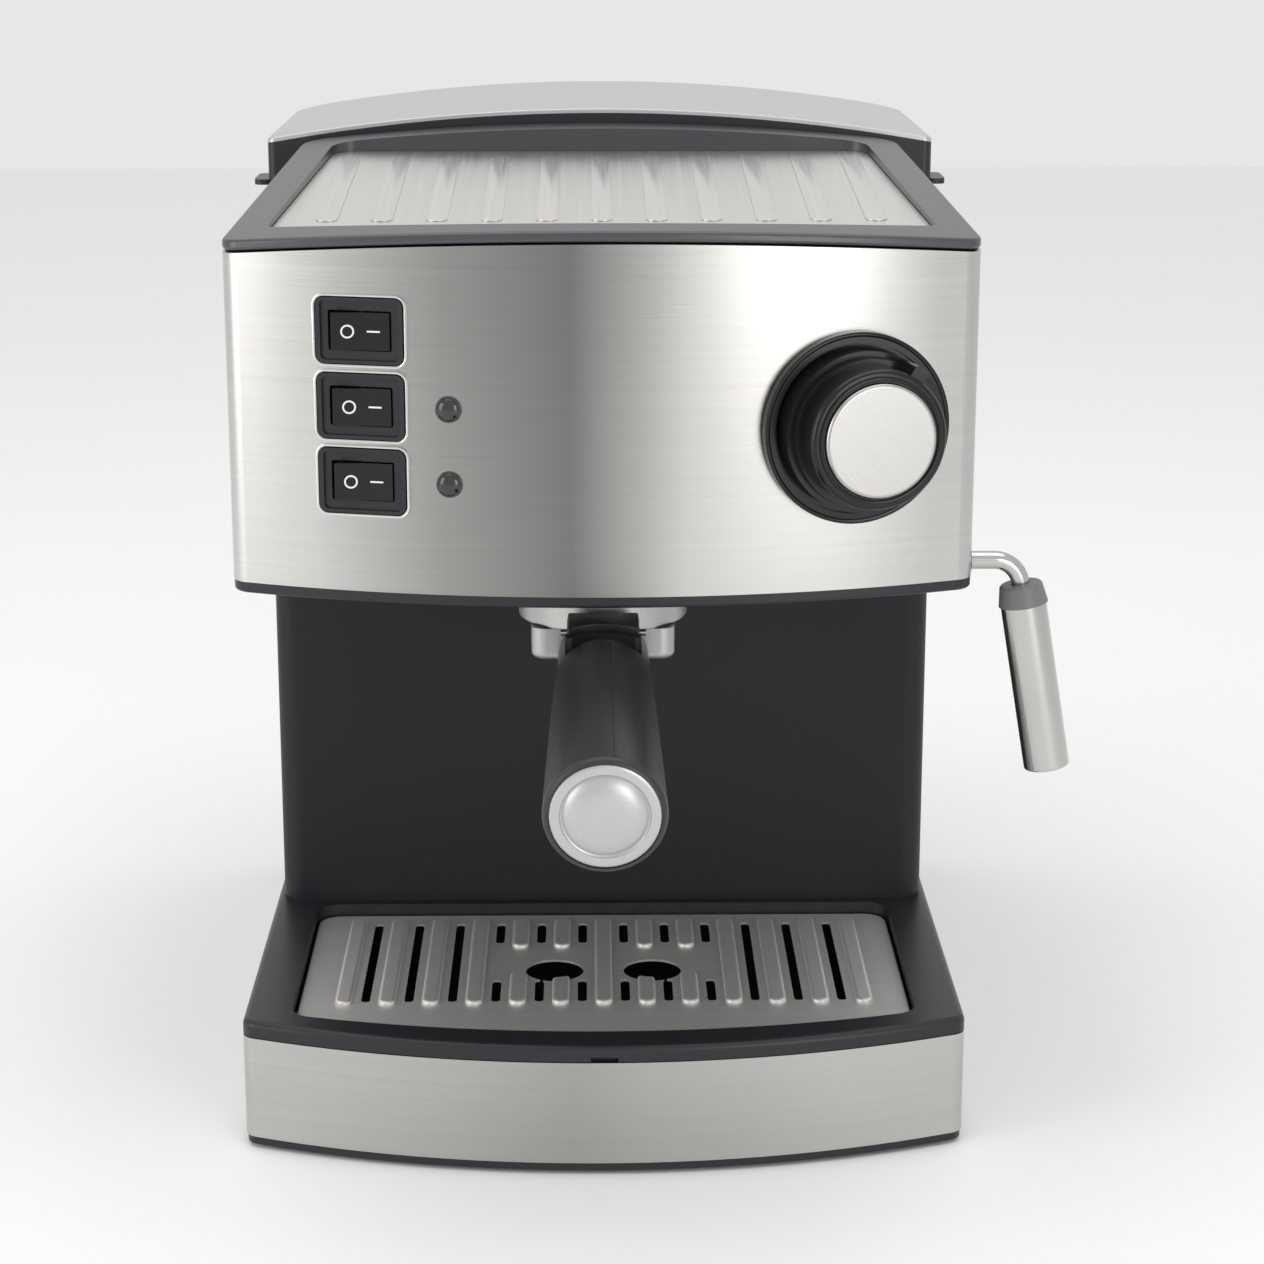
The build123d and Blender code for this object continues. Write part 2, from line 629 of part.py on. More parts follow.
POINTER_TURN = -33.0
with BuildPart() as steam_knob:
    with BuildSketch(panel_plane(KNOB_X, KNOB_Z, 1.7)):
        Circle(SKIRT_R)
    extrude(amount=8.3, taper=3)
    with BuildSketch(panel_plane(KNOB_X, KNOB_Z, 10)):
        Circle(SKIRT_R - 2)
    extrude(amount=4, taper=4)
    with BuildSketch(panel_plane(KNOB_X, KNOB_Z, 14)):
        Circle(GRIP_R)
    extrude(amount=KNOB_H - 14)
    fillet(steam_knob.edges().filter_by(GeomType.CIRCLE).sort_by_distance(
        panel_plane(KNOB_X, KNOB_Z, 60).origin)[0], 1.6)
    with BuildSketch(panel_plane(KNOB_X, KNOB_Z, 1.7)):
        with Locations(Location((0, 0, 0), (0, 0, POINTER_TURN))):
            with Locations((0, 13)):
                RectangleRounded(5.2, 25.5, 1.2)
    extrude(amount=KNOB_H - 2.6)
    with BuildSketch(panel_plane(KNOB_X, KNOB_Z, KNOB_H)):
        Circle(CAP_R + 0.2)
    extrude(amount=-2, mode=Mode.SUBTRACT)
    with BuildSketch(panel_plane(KNOB_X, KNOB_Z, 1.7)):
        Circle(STEM_R)
    extrude(amount=16, mode=Mode.SUBTRACT)
keep(steam_knob, "steam_knob")

with BuildPart() as knob_cap:
    with BuildSketch(panel_plane(KNOB_X, KNOB_Z, KNOB_H - 2)):
        Circle(CAP_R)
    extrude(amount=3.6)
    fillet(knob_cap.edges().filter_by(GeomType.CIRCLE).sort_by_distance(
        panel_plane(KNOB_X, KNOB_Z, 60).origin)[0], 1.2)
keep(knob_cap, "knob_cap")

with BuildPart() as valve_stem:
    with BuildSketch(panel_plane(KNOB_X, KNOB_Z, 17.7)):
        Circle(STEM_R)
    extrude(amount=-(17.7 + VALVE_IN - 8))
keep(valve_stem, "valve_stem")

with BuildPart() as steam_valve:
    with BuildSketch(panel_plane(KNOB_X, KNOB_Z, -16)):
        RectangleRounded(22, 22, 3)
    extrude(amount=-(VALVE_IN - 16))
    with BuildSketch(panel_plane(KNOB_X, KNOB_Z, -10)):
        Circle(8)
    extrude(amount=-6)
    with BuildSketch(panel_plane(KNOB_X, KNOB_Z, 0)):
        Circle(STEM_R + RUN)
    extrude(amount=-(VALVE_IN - 7), mode=Mode.SUBTRACT)
keep(steam_valve, "steam_valve")

# ======================= boiler and group =======================
RING_TOP = GASKET_BOTTOM + GASKET_T
with BuildPart() as group_ring:
    with BuildSketch(Plane.XY.offset(HEAD_BOTTOM + 0.5)):
        with Locations((0, GROUP_Y)):
            Circle(RING_R)
    extrude(amount=RING_TOP - HEAD_BOTTOM - 0.5)
    with BuildSketch(Plane.XY.offset(PANEL_BOTTOM)):
        with Locations((0, GROUP_Y)):
            Circle(RING_R + 9)
            Circle(RING_R - 0.5, mode=Mode.SUBTRACT)
    extrude(amount=RING_TOP - PANEL_BOTTOM)
    with BuildSketch(Plane.XY.offset(HEAD_BOTTOM)):
        with Locations((0, GROUP_Y)):
            Circle(FLANGE_R + FIT)
    extrude(amount=RING_TOP, mode=Mode.SUBTRACT)
    with BuildSketch(Plane.XY.offset(LUG_BOTTOM - FIT)):
        with Locations((0, GROUP_Y)):
            Circle(LUG_R + FIT)
    extrude(amount=RING_TOP, mode=Mode.SUBTRACT)
    for turn in (-UNLOCK, 180 - UNLOCK):
        with BuildSketch(group_plane(HEAD_BOTTOM, turn)):
            with BuildLine():
                edge = LUG_R + FIT
                spread = math.tan(math.radians(LUG_ANGLE / 2 + 3)) * edge
                Polyline((0, 0), (spread, -edge), (-spread, -edge), (0, 0))
            make_face()
        extrude(amount=LUG_BOTTOM - HEAD_BOTTOM, mode=Mode.SUBTRACT)
keep(group_ring, "group_ring")

with BuildPart() as group_gasket:
    with BuildSketch(Plane.XY.offset(GASKET_BOTTOM)):
        with Locations((0, GROUP_Y)):
            Circle(LUG_R)
            Circle(27.5, mode=Mode.SUBTRACT)
    extrude(amount=GASKET_T)
keep(group_gasket, "group_gasket")

with BuildPart() as boiler_lower:
    with BuildSketch(Plane.XY.offset(RING_TOP)):
        with Locations((0, GROUP_Y)):
            Circle(RING_R + 9)
    extrude(amount=6)
    with BuildSketch(Plane.XY.offset(RING_TOP)):
        with Locations((0, GROUP_Y)):
            Circle(BOILER_R)
    extrude(amount=BOILER_SPLIT - RING_TOP)
    with BuildSketch(Plane.XY.offset(BOILER_SPLIT - 5)):
        with Locations((0, GROUP_Y)):
            Circle(BOILER_R + 10)
    extrude(amount=5)
    with BuildSketch(Plane.XY.offset(RING_TOP + 9)):
        with Locations((0, GROUP_Y)):
            Circle(BOILER_R - 5)
    extrude(amount=BOILER_SPLIT, mode=Mode.SUBTRACT)
    with BuildSketch(Plane.XY.offset(RING_TOP)):
        with Locations((0, GROUP_Y)):
            Circle(2)
    extrude(amount=9, mode=Mode.SUBTRACT)
keep(boiler_lower, "boiler_lower")

with BuildPart() as boiler_upper:
    with BuildSketch(Plane.XY.offset(BOILER_SPLIT)):
        with Locations((0, GROUP_Y)):
            Circle(BOILER_R + 10)
    extrude(amount=5)
    with BuildSketch(Plane.XY.offset(BOILER_SPLIT)):
        with Locations((0, GROUP_Y)):
            Circle(BOILER_R)
    extrude(amount=BOILER_TOP - BOILER_SPLIT)
    fillet(boiler_upper.faces().sort_by(Axis.Z)[-1].edges(), 10)
    with BuildSketch(Plane.XY.offset(BOILER_SPLIT)):
        with Locations((0, GROUP_Y)):
            Circle(BOILER_R - 4)
    extrude(amount=BOILER_TOP - BOILER_SPLIT - 5, mode=Mode.SUBTRACT)
keep(boiler_upper, "boiler_upper")

with BuildPart() as boiler_bolts:
    with BuildSketch(Plane.XY.offset(BOILER_SPLIT + 5)):
        with Locations((0, GROUP_Y)):
            with PolarLocations(BOILER_R + 5.2, 6, start_angle=30):
                RegularPolygon(3.6, 6)
    extrude(amount=3.2)
keep(boiler_bolts, "boiler_bolts")

with BuildPart() as shower_screen:
    with BuildSketch(Plane.XY.offset(GASKET_BOTTOM + 1)):
        with Locations((0, GROUP_Y)):
            Circle(27)
    extrude(amount=1.2)
    with BuildSketch(Plane.XY.offset(GASKET_BOTTOM + 1)):
        with Locations((0, GROUP_Y)):
            Circle(27)
            Circle(25.8, mode=Mode.SUBTRACT)
    extrude(amount=GASKET_T - 1)
    with BuildSketch(Plane.XY.offset(GASKET_BOTTOM + 1)):
        with Locations((0, GROUP_Y)):
            for radius, count in ((9, 8), (15, 14), (21, 20)):
                with PolarLocations(radius, count):
                    Circle(1.0)
            Circle(2.2)
    extrude(amount=1.2, mode=Mode.SUBTRACT)
keep(shower_screen, "shower_screen")

with BuildPart() as shower_screw:
    with BuildSketch(Plane.XY.offset(GASKET_BOTTOM - 0.6)):
        with Locations((0, GROUP_Y)):
            Circle(4.2)
    extrude(amount=1.6)
    with BuildSketch(Plane.XY.offset(GASKET_BOTTOM + 1)):
        with Locations((0, GROUP_Y)):
            Circle(1.9)
    extrude(amount=10)
keep(shower_screw, "shower_screw")

with BuildPart() as thermostats:
    with BuildSketch(Plane.XY.offset(BOILER_TOP)):
        with Locations((-12, GROUP_Y), (12, GROUP_Y)):
            Circle(7)
    extrude(amount=8)
    with BuildSketch(Plane.XY.offset(BOILER_TOP + 8)):
        with Locations((-12, GROUP_Y), (12, GROUP_Y)):
            Rectangle(2, 9)
    extrude(amount=5)
keep(thermostats, "thermostats")

# ======================= pump and pipework =======================
with BuildPart() as pump_bracket:
    with BuildSketch(Plane.XY.offset(TRIM_TOP)):
        with Locations((0, PUMP_Y)):
            Rectangle(PUMP_L - 10, 46)
    extrude(amount=2)
    with BuildSketch(Plane.XY.offset(TRIM_TOP)):
        with Locations((-PUMP_L / 2 + 8, PUMP_Y), (PUMP_L / 2 - 8, PUMP_Y)):
            Rectangle(3, 46)
    extrude(amount=PUMP_Z - TRIM_TOP + 2)
    with BuildSketch(Plane.YZ.offset(-PUMP_L / 2)):
        with Locations((PUMP_Y, PUMP_Z)):
            Circle(PUMP_R + 3)
    extrude(amount=PUMP_L, mode=Mode.SUBTRACT)
keep(pump_bracket, "pump_bracket")

with BuildPart() as pump_mounts:
    with BuildSketch(Plane.YZ.offset(-PUMP_L / 2 + 4)):
        with Locations((PUMP_Y, PUMP_Z)):
            Circle(PUMP_R + 3)
            Circle(PUMP_R, mode=Mode.SUBTRACT)
    extrude(amount=8)
    with BuildSketch(Plane.YZ.offset(PUMP_L / 2 - 12)):
        with Locations((PUMP_Y, PUMP_Z)):
            Circle(PUMP_R + 3)
            Circle(PUMP_R, mode=Mode.SUBTRACT)
    extrude(amount=8)
keep(pump_mounts, "pump_mounts")

with BuildPart() as pump_body:
    with BuildSketch(Plane.YZ.offset(-PUMP_L / 2)):
        with Locations((PUMP_Y, PUMP_Z)):
            Circle(PUMP_R)
    extrude(amount=PUMP_L)
    with BuildSketch(Plane.YZ.offset(-PUMP_L / 2 - 10)):
        with Locations((PUMP_Y, PUMP_Z)):
            Circle(4)
    extrude(amount=PUMP_L + 20)
keep(pump_body, "pump_body")

with BuildPart() as pump_coil:
    with BuildSketch(Plane.YZ.offset(-14)):
        with Locations((PUMP_Y, PUMP_Z)):
            RectangleRounded(2 * PUMP_R + 16, 2 * PUMP_R + 16, 4)
            Circle(PUMP_R, mode=Mode.SUBTRACT)
    extrude(amount=28)
keep(pump_coil, "pump_coil")


def tube(points, radii, radius):
    """A round hose or pipe along straight runs joined by arcs."""
    with BuildPart() as run:
        with BuildLine() as path:
            FilletPolyline(*points, radius=radii)
        start = Vector(*points[0])
        with BuildSketch(Plane(origin=start, z_dir=Vector(*points[1]) - start)):
            Circle(radius)
        sweep(path=path.line)
    return run.part


PUMP_END = PUMP_L / 2 + 10
SUCTION_Z = SHELF_Z - 29
suction_route = [
    (-PUMP_END, PUMP_Y, PUMP_Z),
    (-PUMP_END - 16, PUMP_Y, PUMP_Z),
    (-PUMP_END - 16, SEAT_Y, SUCTION_Z),
    (0, SEAT_Y, SUCTION_Z),
    (0, SEAT_Y, SHELF_Z - 8),
]
FEED_Z = RING_TOP + 13.5
pressure_route = [
    (PUMP_END, PUMP_Y, PUMP_Z),
    (PUMP_END + 15, PUMP_Y, PUMP_Z),
    (PUMP_END + 15, 12, PUMP_Z + 28),
    (PUMP_END + 15, 12, FEED_Z),
    (0, 12, FEED_Z),
    (0, GROUP_Y + BOILER_R, FEED_Z),
]
with BuildPart() as water_hoses:
    add(tube(suction_route, [7, 14, 9], HOSE_R))
    add(tube(pressure_route, [6, 18, 18, 18], FEED_R))
keep(water_hoses, "water_hoses")

valve_back = panel_plane(KNOB_X, KNOB_Z, -VALVE_IN)
steam_turn = (GROUP_Y - valve_back.origin.Y) / valve_back.z_dir.Y
steam_route = [
    (BOILER_R, GROUP_Y, KNOB_Z),
    (valve_back.origin.X + steam_turn * valve_back.z_dir.X, GROUP_Y, KNOB_Z),
    tuple(valve_back.origin),
]
wand_route = [
    (valve_middle.X, WAND_Y, KNOB_Z - 11),
    (valve_middle.X, WAND_Y, WAND_Z),
    (BUSH_IN + 7, WAND_Y, WAND_Z),
]
with BuildPart() as steam_tubes:
    add(tube(steam_route, [8], FEED_R))
    add(tube(wand_route, [12], FEED_R))
keep(steam_tubes, "steam_tubes")

with BuildPart() as tank_seat:
    with BuildSketch(Plane.XY.offset(SHELF_Z - 8)):
        with Locations((0, SEAT_Y)):
            Circle(SEAT_R)
    extrude(amount=8 + WALL)
    with BuildSketch(Plane.XY.offset(SHELF_Z - 2)):
        with Locations((0, SEAT_Y)):
            Circle(SEAT_R + 5)
    extrude(amount=2)
    with BuildSketch(Plane.XY.offset(SHELF_Z - 8)):
        with Locations((0, SEAT_Y)):
            Circle(3.5)
    extrude(amount=8 + WALL, mode=Mode.SUBTRACT)
keep(tank_seat, "tank_seat")

# ======================= portafilter =======================
with BuildPart() as portafilter_head:
    with BuildSketch(Plane.XY.offset(CUP_BOTTOM)):
        with Locations((0, GROUP_Y)):
            Circle(CUP_R)
    extrude(amount=CUP_TOP - CUP_BOTTOM)
    fillet(portafilter_head.edges().group_by(Axis.Z)[0], 1.2)
    with BuildSketch(Plane.XY.offset(197)):
        with Locations((0, GROUP_Y)):
            Circle(FLANGE_R)
    extrude(amount=CUP_TOP - 197)
    for turn in (0.0, 180.0):
        with BuildSketch(group_plane(LUG_BOTTOM, turn)):
            with BuildLine():
                spread = math.tan(math.radians(LUG_ANGLE / 2)) * LUG_R
                Polyline((0, 0), (spread, -LUG_R), (-spread, -LUG_R), (0, 0))
            make_face()
        extrude(amount=LUG_T)
    with BuildSketch(Plane.XY.offset(CUP_BOTTOM + 3)):
        with Locations((0, GROUP_Y)):
            Circle(CUP_R - CUP_WALL)
    extrude(amount=CUP_TOP, mode=Mode.SUBTRACT)
    with BuildSketch(Plane.XY.offset(LUG_BOTTOM)):
        with Locations((0, GROUP_Y)):
            Circle(LUG_R + 4)
            Circle(LUG_R - 0.05, mode=Mode.SUBTRACT)
    extrude(amount=LUG_T, mode=Mode.SUBTRACT)
    with BuildSketch(Plane.XY.offset(CUP_BOTTOM)):
        with Locations((0, GROUP_Y)):
            Circle(4)
    extrude(amount=3, mode=Mode.SUBTRACT)
    with BuildSketch(HANDLE_PLANE):
        with Locations((0, 3)):
            RectangleRounded(14, 16, 4)
    extrude(amount=-6)
    with BuildSketch(HANDLE_PLANE):
        Circle(6)
    extrude(amount=30)
keep(portafilter_head, "portafilter_head")

with BuildPart() as filter_basket:
    with BuildSketch(Plane.XY.offset(CUP_TOP)):
        with Locations((0, GROUP_Y)):
            Circle(FLANGE_R - 0.6)
    extrude(amount=0.8)
    with BuildSketch(Plane.XY.offset(CUP_TOP - 23)):
        with Locations((0, GROUP_Y)):
            Circle(25.2)
    extrude(amount=23)
    with BuildSketch(Plane.XY.offset(CUP_TOP - 22.2)):
        with Locations((0, GROUP_Y)):
            Circle(24.4)
    extrude(amount=30, mode=Mode.SUBTRACT)
    with BuildSketch(Plane.XY.offset(CUP_TOP - 23)):
        with Locations((0, GROUP_Y)):
            for radius, count in ((5, 6), (10, 12), (15, 18), (20, 24)):
                with PolarLocations(radius, count):
                    Circle(0.6)
    extrude(amount=1, mode=Mode.SUBTRACT)
keep(filter_basket, "filter_basket")

with BuildPart() as twin_spout:
    with BuildSketch(Plane.XY.offset(SPOUT_BOTTOM)):
        with Locations((0, GROUP_Y - 6)):
            RectangleRounded(2 * SPOUT_HALF, SPOUT_DEPTH, 5)
    extrude(amount=CUP_BOTTOM - SPOUT_BOTTOM)
    fillet(twin_spout.edges().group_by(Axis.Z)[0], 2.5)
    with BuildSketch(Plane.XY.offset(SPOUT_BOTTOM)):
        with Locations((-SPOUT_X, GROUP_Y), (SPOUT_X, GROUP_Y)):
            Circle(SPOUT_BORE)
    extrude(amount=8, mode=Mode.SUBTRACT)
    with BuildSketch(Plane.XY.offset(SPOUT_BOTTOM + 4)):
        with Locations((0, GROUP_Y)):
            SlotOverall(2 * SPOUT_X + 6, 6)
    extrude(amount=4, mode=Mode.SUBTRACT)
    with BuildSketch(Plane.XY.offset(SPOUT_BOTTOM + 4)):
        with Locations((0, GROUP_Y)):
            Circle(4)
    extrude(amount=20, mode=Mode.SUBTRACT)
    with BuildSketch(HANDLE_PLANE):
        with Locations((0, 3)):
            RectangleRounded(14.2, 16.2, 4)
    extrude(amount=-9, mode=Mode.SUBTRACT)
keep(twin_spout, "twin_spout")



def clip_axis(x):
    """A point on the thumb clip's pivot axis."""
    return HANDLE_PLANE.from_local_coords((x, CLIP_HEIGHT, CLIP_PIVOT))


with BuildPart() as handle:
    with BuildSketch(HANDLE_PLANE):
        Circle(HANDLE_ROOT_R)
    with BuildSketch(HANDLE_PLANE.offset(HANDLE_L * 0.55)):
        Circle(HANDLE_ROOT_R + 0.62 * (HANDLE_END_R - HANDLE_ROOT_R))
    with BuildSketch(HANDLE_PLANE.offset(HANDLE_L)):
        Circle(HANDLE_END_R)
    loft()
    fillet(handle.edges().sort_by(Axis.Y)[0], 2.4)
    with BuildSketch(HANDLE_PLANE.offset(HANDLE_L)):
        Circle(END_CAP_R + 0.1)
    extrude(amount=-3, mode=Mode.SUBTRACT)
    with BuildSketch(HANDLE_PLANE):
        Circle(6)
    extrude(amount=30, mode=Mode.SUBTRACT)
    with BuildSketch(HANDLE_PLANE):
        with Locations((0, 20)):
            Rectangle(2 * CLIP_HALF + 0.8, 24)
    extrude(amount=23, mode=Mode.SUBTRACT)
    with BuildSketch(Plane(origin=clip_axis(-CLIP_HALF - 2), z_dir=(1, 0, 0))):
        Circle(PIN_R)
    extrude(amount=2 * CLIP_HALF + 4, mode=Mode.SUBTRACT)
keep(handle, "handle")

with BuildPart() as handle_end_cap:
    with BuildSketch(HANDLE_PLANE.offset(HANDLE_L - 3)):
        Circle(END_CAP_R)
    extrude(amount=3.6)
    fillet(handle_end_cap.edges().filter_by(GeomType.CIRCLE).sort_by_distance(HANDLE_PLANE.offset(HANDLE_L + 60).origin)[0], 1.0)
    with BuildSketch(HANDLE_PLANE.offset(HANDLE_L + 0.6)):
        Circle(END_CAP_R - 3.6)
    extrude(amount=2.6, taper=55)
keep(handle_end_cap, "handle_end_cap")

with BuildPart() as thumb_clip:
    with BuildSketch(HANDLE_PLANE.offset(CLIP_PIVOT - 3)):
        with Locations((0, CLIP_HEIGHT + 1.4)):
            Rectangle(2 * CLIP_HALF - 0.4, 4.6)
    extrude(amount=CLIP_L + 3)
    with BuildSketch(Plane(origin=clip_axis(-CLIP_HALF + 0.2), z_dir=(1, 0, 0))):
        Circle(2.3)
    extrude(amount=2 * CLIP_HALF - 0.4)
    with BuildSketch(Plane(
        origin=HANDLE_PLANE.from_local_coords((0, CLIP_HEIGHT + 8, CLIP_PIVOT + CLIP_L + 11)),
        x_dir=(1, 0, 0), z_dir=HANDLE_PLANE.y_dir,
    )):
        Circle(15)
    extrude(amount=-20, mode=Mode.SUBTRACT)
    with BuildSketch(Plane(origin=clip_axis(-CLIP_HALF), z_dir=(1, 0, 0))):
        Circle(PIN_R + RUN)
    extrude(amount=2 * CLIP_HALF, mode=Mode.SUBTRACT)
keep(thumb_clip, "thumb_clip")

with BuildPart() as clip_pin:
    with BuildSketch(Plane(origin=clip_axis(-CLIP_HALF - 2), z_dir=(1, 0, 0))):
        Circle(PIN_R)
    extrude(amount=2 * CLIP_HALF + 4)
keep(clip_pin, "clip_pin")

# ======================= steam wand =======================
with BuildPart() as wand_bushing:
    with BuildSketch(Plane.YZ.offset(BUSH_IN)):
        with Locations((WAND_Y, WAND_Z)):
            Circle(BUSH_R)
            Circle(PIPE_R + RUN, mode=Mode.SUBTRACT)
    extrude(amount=BUSH_OUT - BUSH_IN)
keep(wand_bushing, "wand_bushing")

LEAN = math.radians(WAND_LEAN)
WAND_DOWN = (math.sin(LEAN), 0, -math.cos(LEAN))
PIPE_L = 30.0  # from the corner of the bend to the pipe's end, inside the sleeve
COLLAR_DROP = 8.0  # from the corner of the bend to the top of the collar
WAND_TIP = (WAND_X + WAND_DOWN[0] * PIPE_L, WAND_Y, WAND_Z + WAND_DOWN[2] * PIPE_L)
with BuildPart() as wand_pipe:
    add(tube([(BUSH_IN + 7.6, WAND_Y, WAND_Z), (WAND_X, WAND_Y, WAND_Z), WAND_TIP], [WAND_BEND], PIPE_R))
keep(wand_pipe, "wand_pipe")


def wand_plane(down):
    """A plane across the wand, down along it from the corner of its bend."""
    spot = (WAND_X + WAND_DOWN[0] * down, WAND_Y, WAND_Z + WAND_DOWN[2] * down)
    return Plane(origin=spot, z_dir=WAND_DOWN)


with BuildPart() as frother_collar:
    with BuildSketch(wand_plane(COLLAR_DROP)):
        Circle(COLLAR_R - 1.2)
    with BuildSketch(wand_plane(COLLAR_DROP + COLLAR_H)):
        Circle(COLLAR_R)
    loft()
    fillet(frother_collar.edges().sort_by(Axis.Z)[-1], 1.2)
    with BuildSketch(wand_plane(COLLAR_DROP)):
        Circle(PIPE_R + RUN)
    extrude(amount=COLLAR_H, mode=Mode.SUBTRACT)
keep(frother_collar, "frother_collar")

with BuildPart() as frother_sleeve:
    with BuildSketch(wand_plane(COLLAR_DROP + COLLAR_H)):
        Circle(SLEEVE_R)
    extrude(amount=SLEEVE_L)
    fillet(frother_sleeve.edges().filter_by(GeomType.CIRCLE).sort_by(Axis.Z)[0], 0.6)
    with BuildSketch(wand_plane(COLLAR_DROP + COLLAR_H)):
        Circle(SLEEVE_R - 1.0)
    extrude(amount=SLEEVE_L, mode=Mode.SUBTRACT)
    with BuildSketch(wand_plane(COLLAR_DROP + COLLAR_H)):
        Circle(SLEEVE_R - 0.5)
        Circle(PIPE_R + RUN, mode=Mode.SUBTRACT)
    extrude(amount=4)
keep(frother_sleeve, "frother_sleeve")

# ======================= water tank and lid =======================
with BuildPart() as water_tank:
    with BuildSketch(Plane.XY.offset(TANK_BOTTOM)):
        add(plan(TANK_HALF, TANK_HALF, TANK_FRONT, TANK_REAR, 0, 6, 10))
    extrude(amount=TANK_RIM - TANK_BOTTOM)
    fillet(water_tank.edges().group_by(Axis.Z)[0], 4)
    with BuildSketch(Plane.XY.offset(BAY_TOP)):
        add(plan(COLUMN_HALF - 0.5, COLUMN_HALF - 0.5, HEAD_REAR + 1.5, FLANGE_REAR, 0, 2, 10))
    extrude(amount=TANK_RIM - BAY_TOP)
    with BuildSketch(Plane.YZ.offset(-HINGE_X - 2.5)):
        with Locations((HINGE_Y, HINGE_Z)):
            Circle(HINGE_BARREL)
        with BuildLine():
            Polyline(
                (HINGE_Y - HINGE_BARREL, HINGE_Z), (HINGE_Y + HINGE_BARREL, HINGE_Z),
                (FLANGE_REAR, TANK_RIM - 1), (FLANGE_REAR - 5, TANK_RIM - 1),
                (HINGE_Y - HINGE_BARREL, HINGE_Z),
            )
        make_face()
    extrude(amount=5)
    mirror(about=Plane.YZ)
    with BuildSketch(Plane.XY.offset(TANK_BOTTOM + TANK_WALL)):
        add(plan(TANK_HALF, TANK_HALF, TANK_FRONT, TANK_REAR, 0, 6, 10, TANK_WALL))
    extrude(amount=TANK_RIM, mode=Mode.SUBTRACT)
    with BuildSketch(Plane.XY.offset(TANK_BOTTOM)):
        with Locations((0, SEAT_Y)):
            Circle(VALVE_R)
    extrude(amount=TANK_WALL, mode=Mode.SUBTRACT)
    with BuildSketch(Plane.YZ.offset(-HINGE_X - 5)):
        with Locations((HINGE_Y, HINGE_Z)):
            Circle(HINGE_R)
    extrude(amount=2 * HINGE_X + 10, mode=Mode.SUBTRACT)
keep(water_tank, "water_tank")

FLOOR_TOP = TANK_BOTTOM + TANK_WALL
with BuildPart() as tank_valve:
    with BuildSketch(Plane.XY.offset(SHELF_Z + WALL + FIT)):
        with Locations((0, SEAT_Y)):
            Circle(VALVE_STEM_R)
    extrude(amount=24)
    with BuildSketch(Plane.XY.offset(FLOOR_TOP + FIT)):
        with Locations((0, SEAT_Y)):
            Circle(VALVE_R + 1.5)
    extrude(amount=2)
keep(tank_valve, "tank_valve")

CAGE_H = 15.0
with BuildPart() as valve_cage:
    with BuildSketch(Plane.XY.offset(FLOOR_TOP)):
        with Locations((0, SEAT_Y)):
            Circle(VALVE_R + 4)
            Circle(VALVE_R + 2.6, mode=Mode.SUBTRACT)
    extrude(amount=CAGE_H)
    with BuildSketch(Plane.XY.offset(FLOOR_TOP + CAGE_H - 1.4)):
        with Locations((0, SEAT_Y)):
            Circle(VALVE_R + 4)
            Circle(VALVE_STEM_R + RUN, mode=Mode.SUBTRACT)
    extrude(amount=1.4)
    with BuildSketch(Plane.XZ.offset(-SEAT_Y)):
        with Locations((0, FLOOR_TOP + 6)):
            Rectangle(4, 8)
    extrude(amount=20, both=True, mode=Mode.SUBTRACT)
keep(valve_cage, "valve_cage")

with BuildPart() as valve_spring:
    with BuildSketch(Plane.XY.offset(FLOOR_TOP + FIT + 2)):
        with Locations((0, SEAT_Y)):
            Circle(VALVE_STEM_R + 2)
            Circle(VALVE_STEM_R + 1, mode=Mode.SUBTRACT)
    extrude(amount=CAGE_H - 1.4 - FIT - 2)
keep(valve_spring, "valve_spring")


def under_lid(drop, inset=0.0):
    """The lid's outline below its arched top, lowered by drop and drawn in by inset."""
    with BuildPart() as space:
        with BuildSketch(Plane.XZ.offset(-LID_REAR - 20)):
            add(arched(LID_HALF, LID_CROWN, LID_EDGE - drop, LID_BOTTOM - 40))
        extrude(amount=LID_REAR - LID_FRONT + 40)
        with BuildSketch(Plane.XY.offset(LID_BOTTOM)):
            add(lid_plan(inset))
        extrude(amount=60, mode=Mode.INTERSECT)
    return space.part


with BuildPart() as lid_shell:
    add(under_lid(COVER_T))
    add(under_lid(COVER_T + LID_WALL, LID_WALL), mode=Mode.SUBTRACT)
    with BuildSketch(Plane.XY.offset(LID_BOTTOM)):
        for side in (-1, 1):
            with Locations((side * (LID_HALF + TAB_OUT / 2 - 1), LID_FRONT + 1.5 + TAB_L / 2)):
                RectangleRounded(TAB_OUT + 2, TAB_L, 3)
    extrude(amount=2)
    with BuildSketch(Plane.XY.offset(LID_BOTTOM)):
        add(lid_plan(LID_WALL))
    extrude(amount=3, mode=Mode.SUBTRACT)
    for x in (HINGE_X + 3, -HINGE_X - 7):
        with BuildSketch(Plane.YZ.offset(x)):
            with Locations((HINGE_Y, HINGE_Z)):
                Circle(HINGE_BARREL)
            with Locations((HINGE_Y + HINGE_BARREL, HINGE_Z + 2)):
                Rectangle(2 * HINGE_BARREL, 5)
        extrude(amount=4)
    with BuildSketch(Plane.YZ.offset(-HINGE_X - 7)):
        with Locations((HINGE_Y, HINGE_Z)):
            Circle(HINGE_R + RUN)
    extrude(amount=2 * HINGE_X + 14, mode=Mode.SUBTRACT)
    with BuildSketch(Plane.XZ.offset(-LID_REAR + LID_WALL + 0.4)):
        for side in (-1, 1):
            with Locations((side * HINGE_X, LID_BOTTOM + 3)):
                Rectangle(5.8, 9)
    extrude(amount=-LID_WALL - 1, mode=Mode.SUBTRACT)
keep(lid_shell, "lid_shell")

